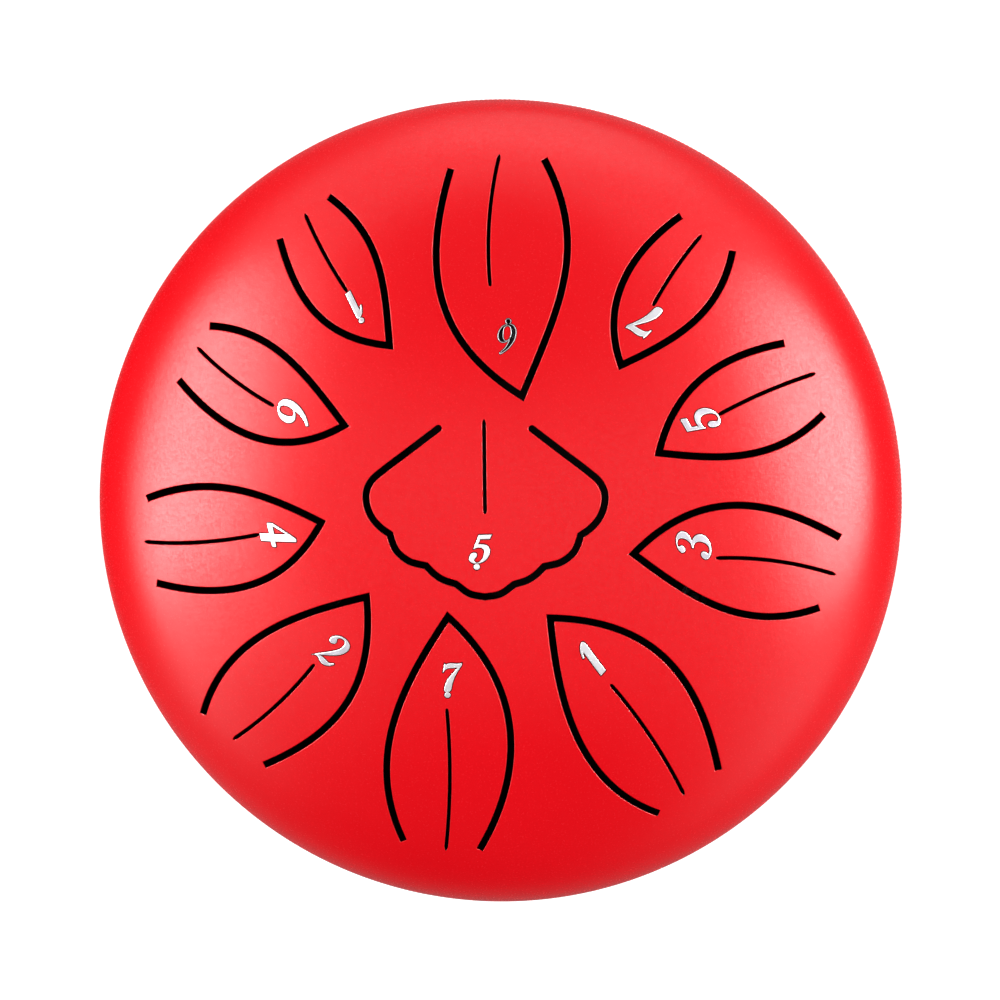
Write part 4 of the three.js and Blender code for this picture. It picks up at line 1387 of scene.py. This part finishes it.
# ------------------------------------------------------------------ stage and light
def make_floor():
    """A pale floor, see-through from below. Lengths here are in metres."""
    material = bpy.data.materials.new("floor_look")
    nodes = Nodes(material)
    where = nodes.add("NewGeometry").outputs["Position"]
    # painted shadow: the floor is dark and does not glow where the drum stands over it
    lit = nodes.ramp(nodes.vector("LENGTH", where)["Value"], span=(0.062, 0.112))
    seen = nodes.add("LightPath").outputs["Is Camera Ray"]
    side = nodes.rig_vector(nodes.vector("NORMALIZE", where)[0])
    facing = nodes.vector("DOT_PRODUCT", side, on_rig((0.0, -1.0, 0.0)))["Value"]
    front = nodes.ramp(facing, span=(0.3, 0.95))
    # what the drum is lit by is darker towards the front, -Y
    bounce = nodes.mix(front, low=(0.85, 0.85, 0.85), high=(0.02, 0.02, 0.02))
    white = nodes.mix(seen, low=bounce, high=(0.9, 0.9, 0.9))
    glow = 0.5
    shader = nodes.add("BsdfPrincipled", {
        "Base Color": nodes.mix(lit, low=(0.03, 0.03, 0.03), high=white), "Roughness": 0.9,
        "Specular IOR Level": 0.0, "Emission Color": (1, 1, 1, 1),
        "Emission Strength": nodes.math("MULTIPLY", nodes.math("MULTIPLY", lit, seen), glow)})
    clear = nodes.add("BsdfTransparent")
    from_below = nodes.math("MULTIPLY", nodes.add("NewGeometry").outputs["Backfacing"], seen)
    both = nodes.add("MixShader", {0: from_below, 1: shader.outputs[0], 2: clear.outputs[0]})
    nodes.add("OutputMaterial", {"Surface": both.outputs[0]})
    material.cycles.emission_sampling = "NONE"
    half = 8.0
    mesh = bpy.data.meshes.new("floor")
    mesh.from_pydata([(-half, -half, 0), (half, -half, 0), (half, half, 0), (-half, half, 0)],
                     [], [(0, 1, 2, 3)])
    mesh.materials.append(material)
    floor = link_object("floor", mesh)
    floor.visible_glossy = False


# Columns: azimuth, polar angle, inner angle, outer angle, strength
SOFT_BOXES = (
    (173.6, 62.4, 1, 36.5, 17.5),     # -X
    (9.9, 65.2, 1, 34.2, 19.5),       # +X
    (218.6, 56.8, 2, 32.9, 14.5),     # -X and -Y
    (83.9, 95.4, 1, 32.6, 1.28),      # low at +Y
)
# The same columns, with the share of light taken away last
FLAGS = (
    (95, 30.2, 12, 32.2, 1.0), (260, 65.1, 15.6, 69.4, 0.985), (270.5, 46.6, 12, 20, 0.9),
    (224.8, 59.4, 25.9, 31, 0.513), (165.4, 112, 8, 53, 1.0), (12, 118, 8, 36, 0.7),
)


def make_soft_boxes():
    """A sphere of lights and black flags, seen only in reflections."""
    material = bpy.data.materials.new("soft_boxes")
    nodes = Nodes(material)
    where = nodes.add("NewGeometry").outputs["Position"]
    heading = nodes.vector("NORMALIZE", where)[0]
    height = nodes.vector("DOT_PRODUCT", heading, (0.0, 0.0, 1.0))["Value"]
    heading = nodes.rig_vector(heading)
    rig_height = nodes.vector("DOT_PRODUCT", heading, on_rig((0.0, 0.0, 1.0)))["Value"]
    total = nodes.math("ADD", nodes.ramp(rig_height, span=(-0.62, -0.30), to=(0.23, 0.40)),
                       nodes.ramp(rig_height, span=(-0.30, 0.17), to=(0.0, 1.30)))
    for box in SOFT_BOXES:
        total = nodes.math("ADD", total, nodes.lobe(heading, *box))
    for flag in FLAGS:
        passed = nodes.math("SUBTRACT", 1.0, nodes.lobe(heading, *flag))
        total = nodes.math("MULTIPLY", total, passed)
    # a pale wall behind the drum, above the floor, for a camera that looks from the side
    wall = nodes.math("MULTIPLY", nodes.ramp(rig_height, span=(-0.05, -0.45), to=(0.0, 0.5)),
                      nodes.ramp(height, span=(-0.02, 0.12)))
    total = nodes.math("ADD", total, wall)
    glow = nodes.add("Emission", {"Color": (1.0, 0.99, 1.0, 1), "Strength": total})
    nodes.add("OutputMaterial", {"Surface": glow.outputs[0]})
    material.cycles.emission_sampling = "NONE"
    sphere = bmesh.new()
    bmesh.ops.create_icosphere(sphere, subdivisions=5, radius=6.0)
    mesh = bpy.data.meshes.new("soft_boxes")
    sphere.to_mesh(mesh)
    sphere.free()
    mesh.materials.append(material)
    boxes = link_object("soft_boxes", mesh)
    boxes.visible_camera = False
    boxes.visible_diffuse = False
    boxes.visible_transmission = False
    boxes.visible_volume_scatter = False
    boxes.visible_shadow = False


def make_world():
    """Even light, darker from the front, -Y, with a fill low at each side. White when seen."""
    world = bpy.data.worlds.new("studio")
    scene.world = world
    nodes = Nodes(world)
    heading = nodes.rig_vector(nodes.add("TexCoord").outputs["Generated"])
    shade = nodes.lobe(heading, azimuth=262.7, polar=50, inner=34.7, outer=95, peak=0.584)
    level = nodes.math("SUBTRACT", 1.0, shade)
    for azimuth, polar, outer in ((-8.2, 89.8, 60), (182, 88.9, 60.8)):
        fill = nodes.lobe(heading, azimuth, polar, inner=5, outer=outer, peak=3.0)
        level = nodes.math("ADD", level, fill)
    seen = nodes.add("LightPath").outputs["Is Camera Ray"]
    unseen = nodes.math("SUBTRACT", 1.0, seen)
    level = nodes.math("ADD", nodes.math("MULTIPLY", level, unseen), seen)
    background = nodes.add("Background", {"Color": (1, 1, 1, 1), "Strength": level})
    nodes.add("OutputWorld", {"Surface": background.outputs[0]})
    world.cycles_visibility.glossy = False
    world.cycles_visibility.transmission = False
    world.cycles_visibility.scatter = False


make_floor()
make_soft_boxes()
make_world()

bpy.context.view_layer.update()
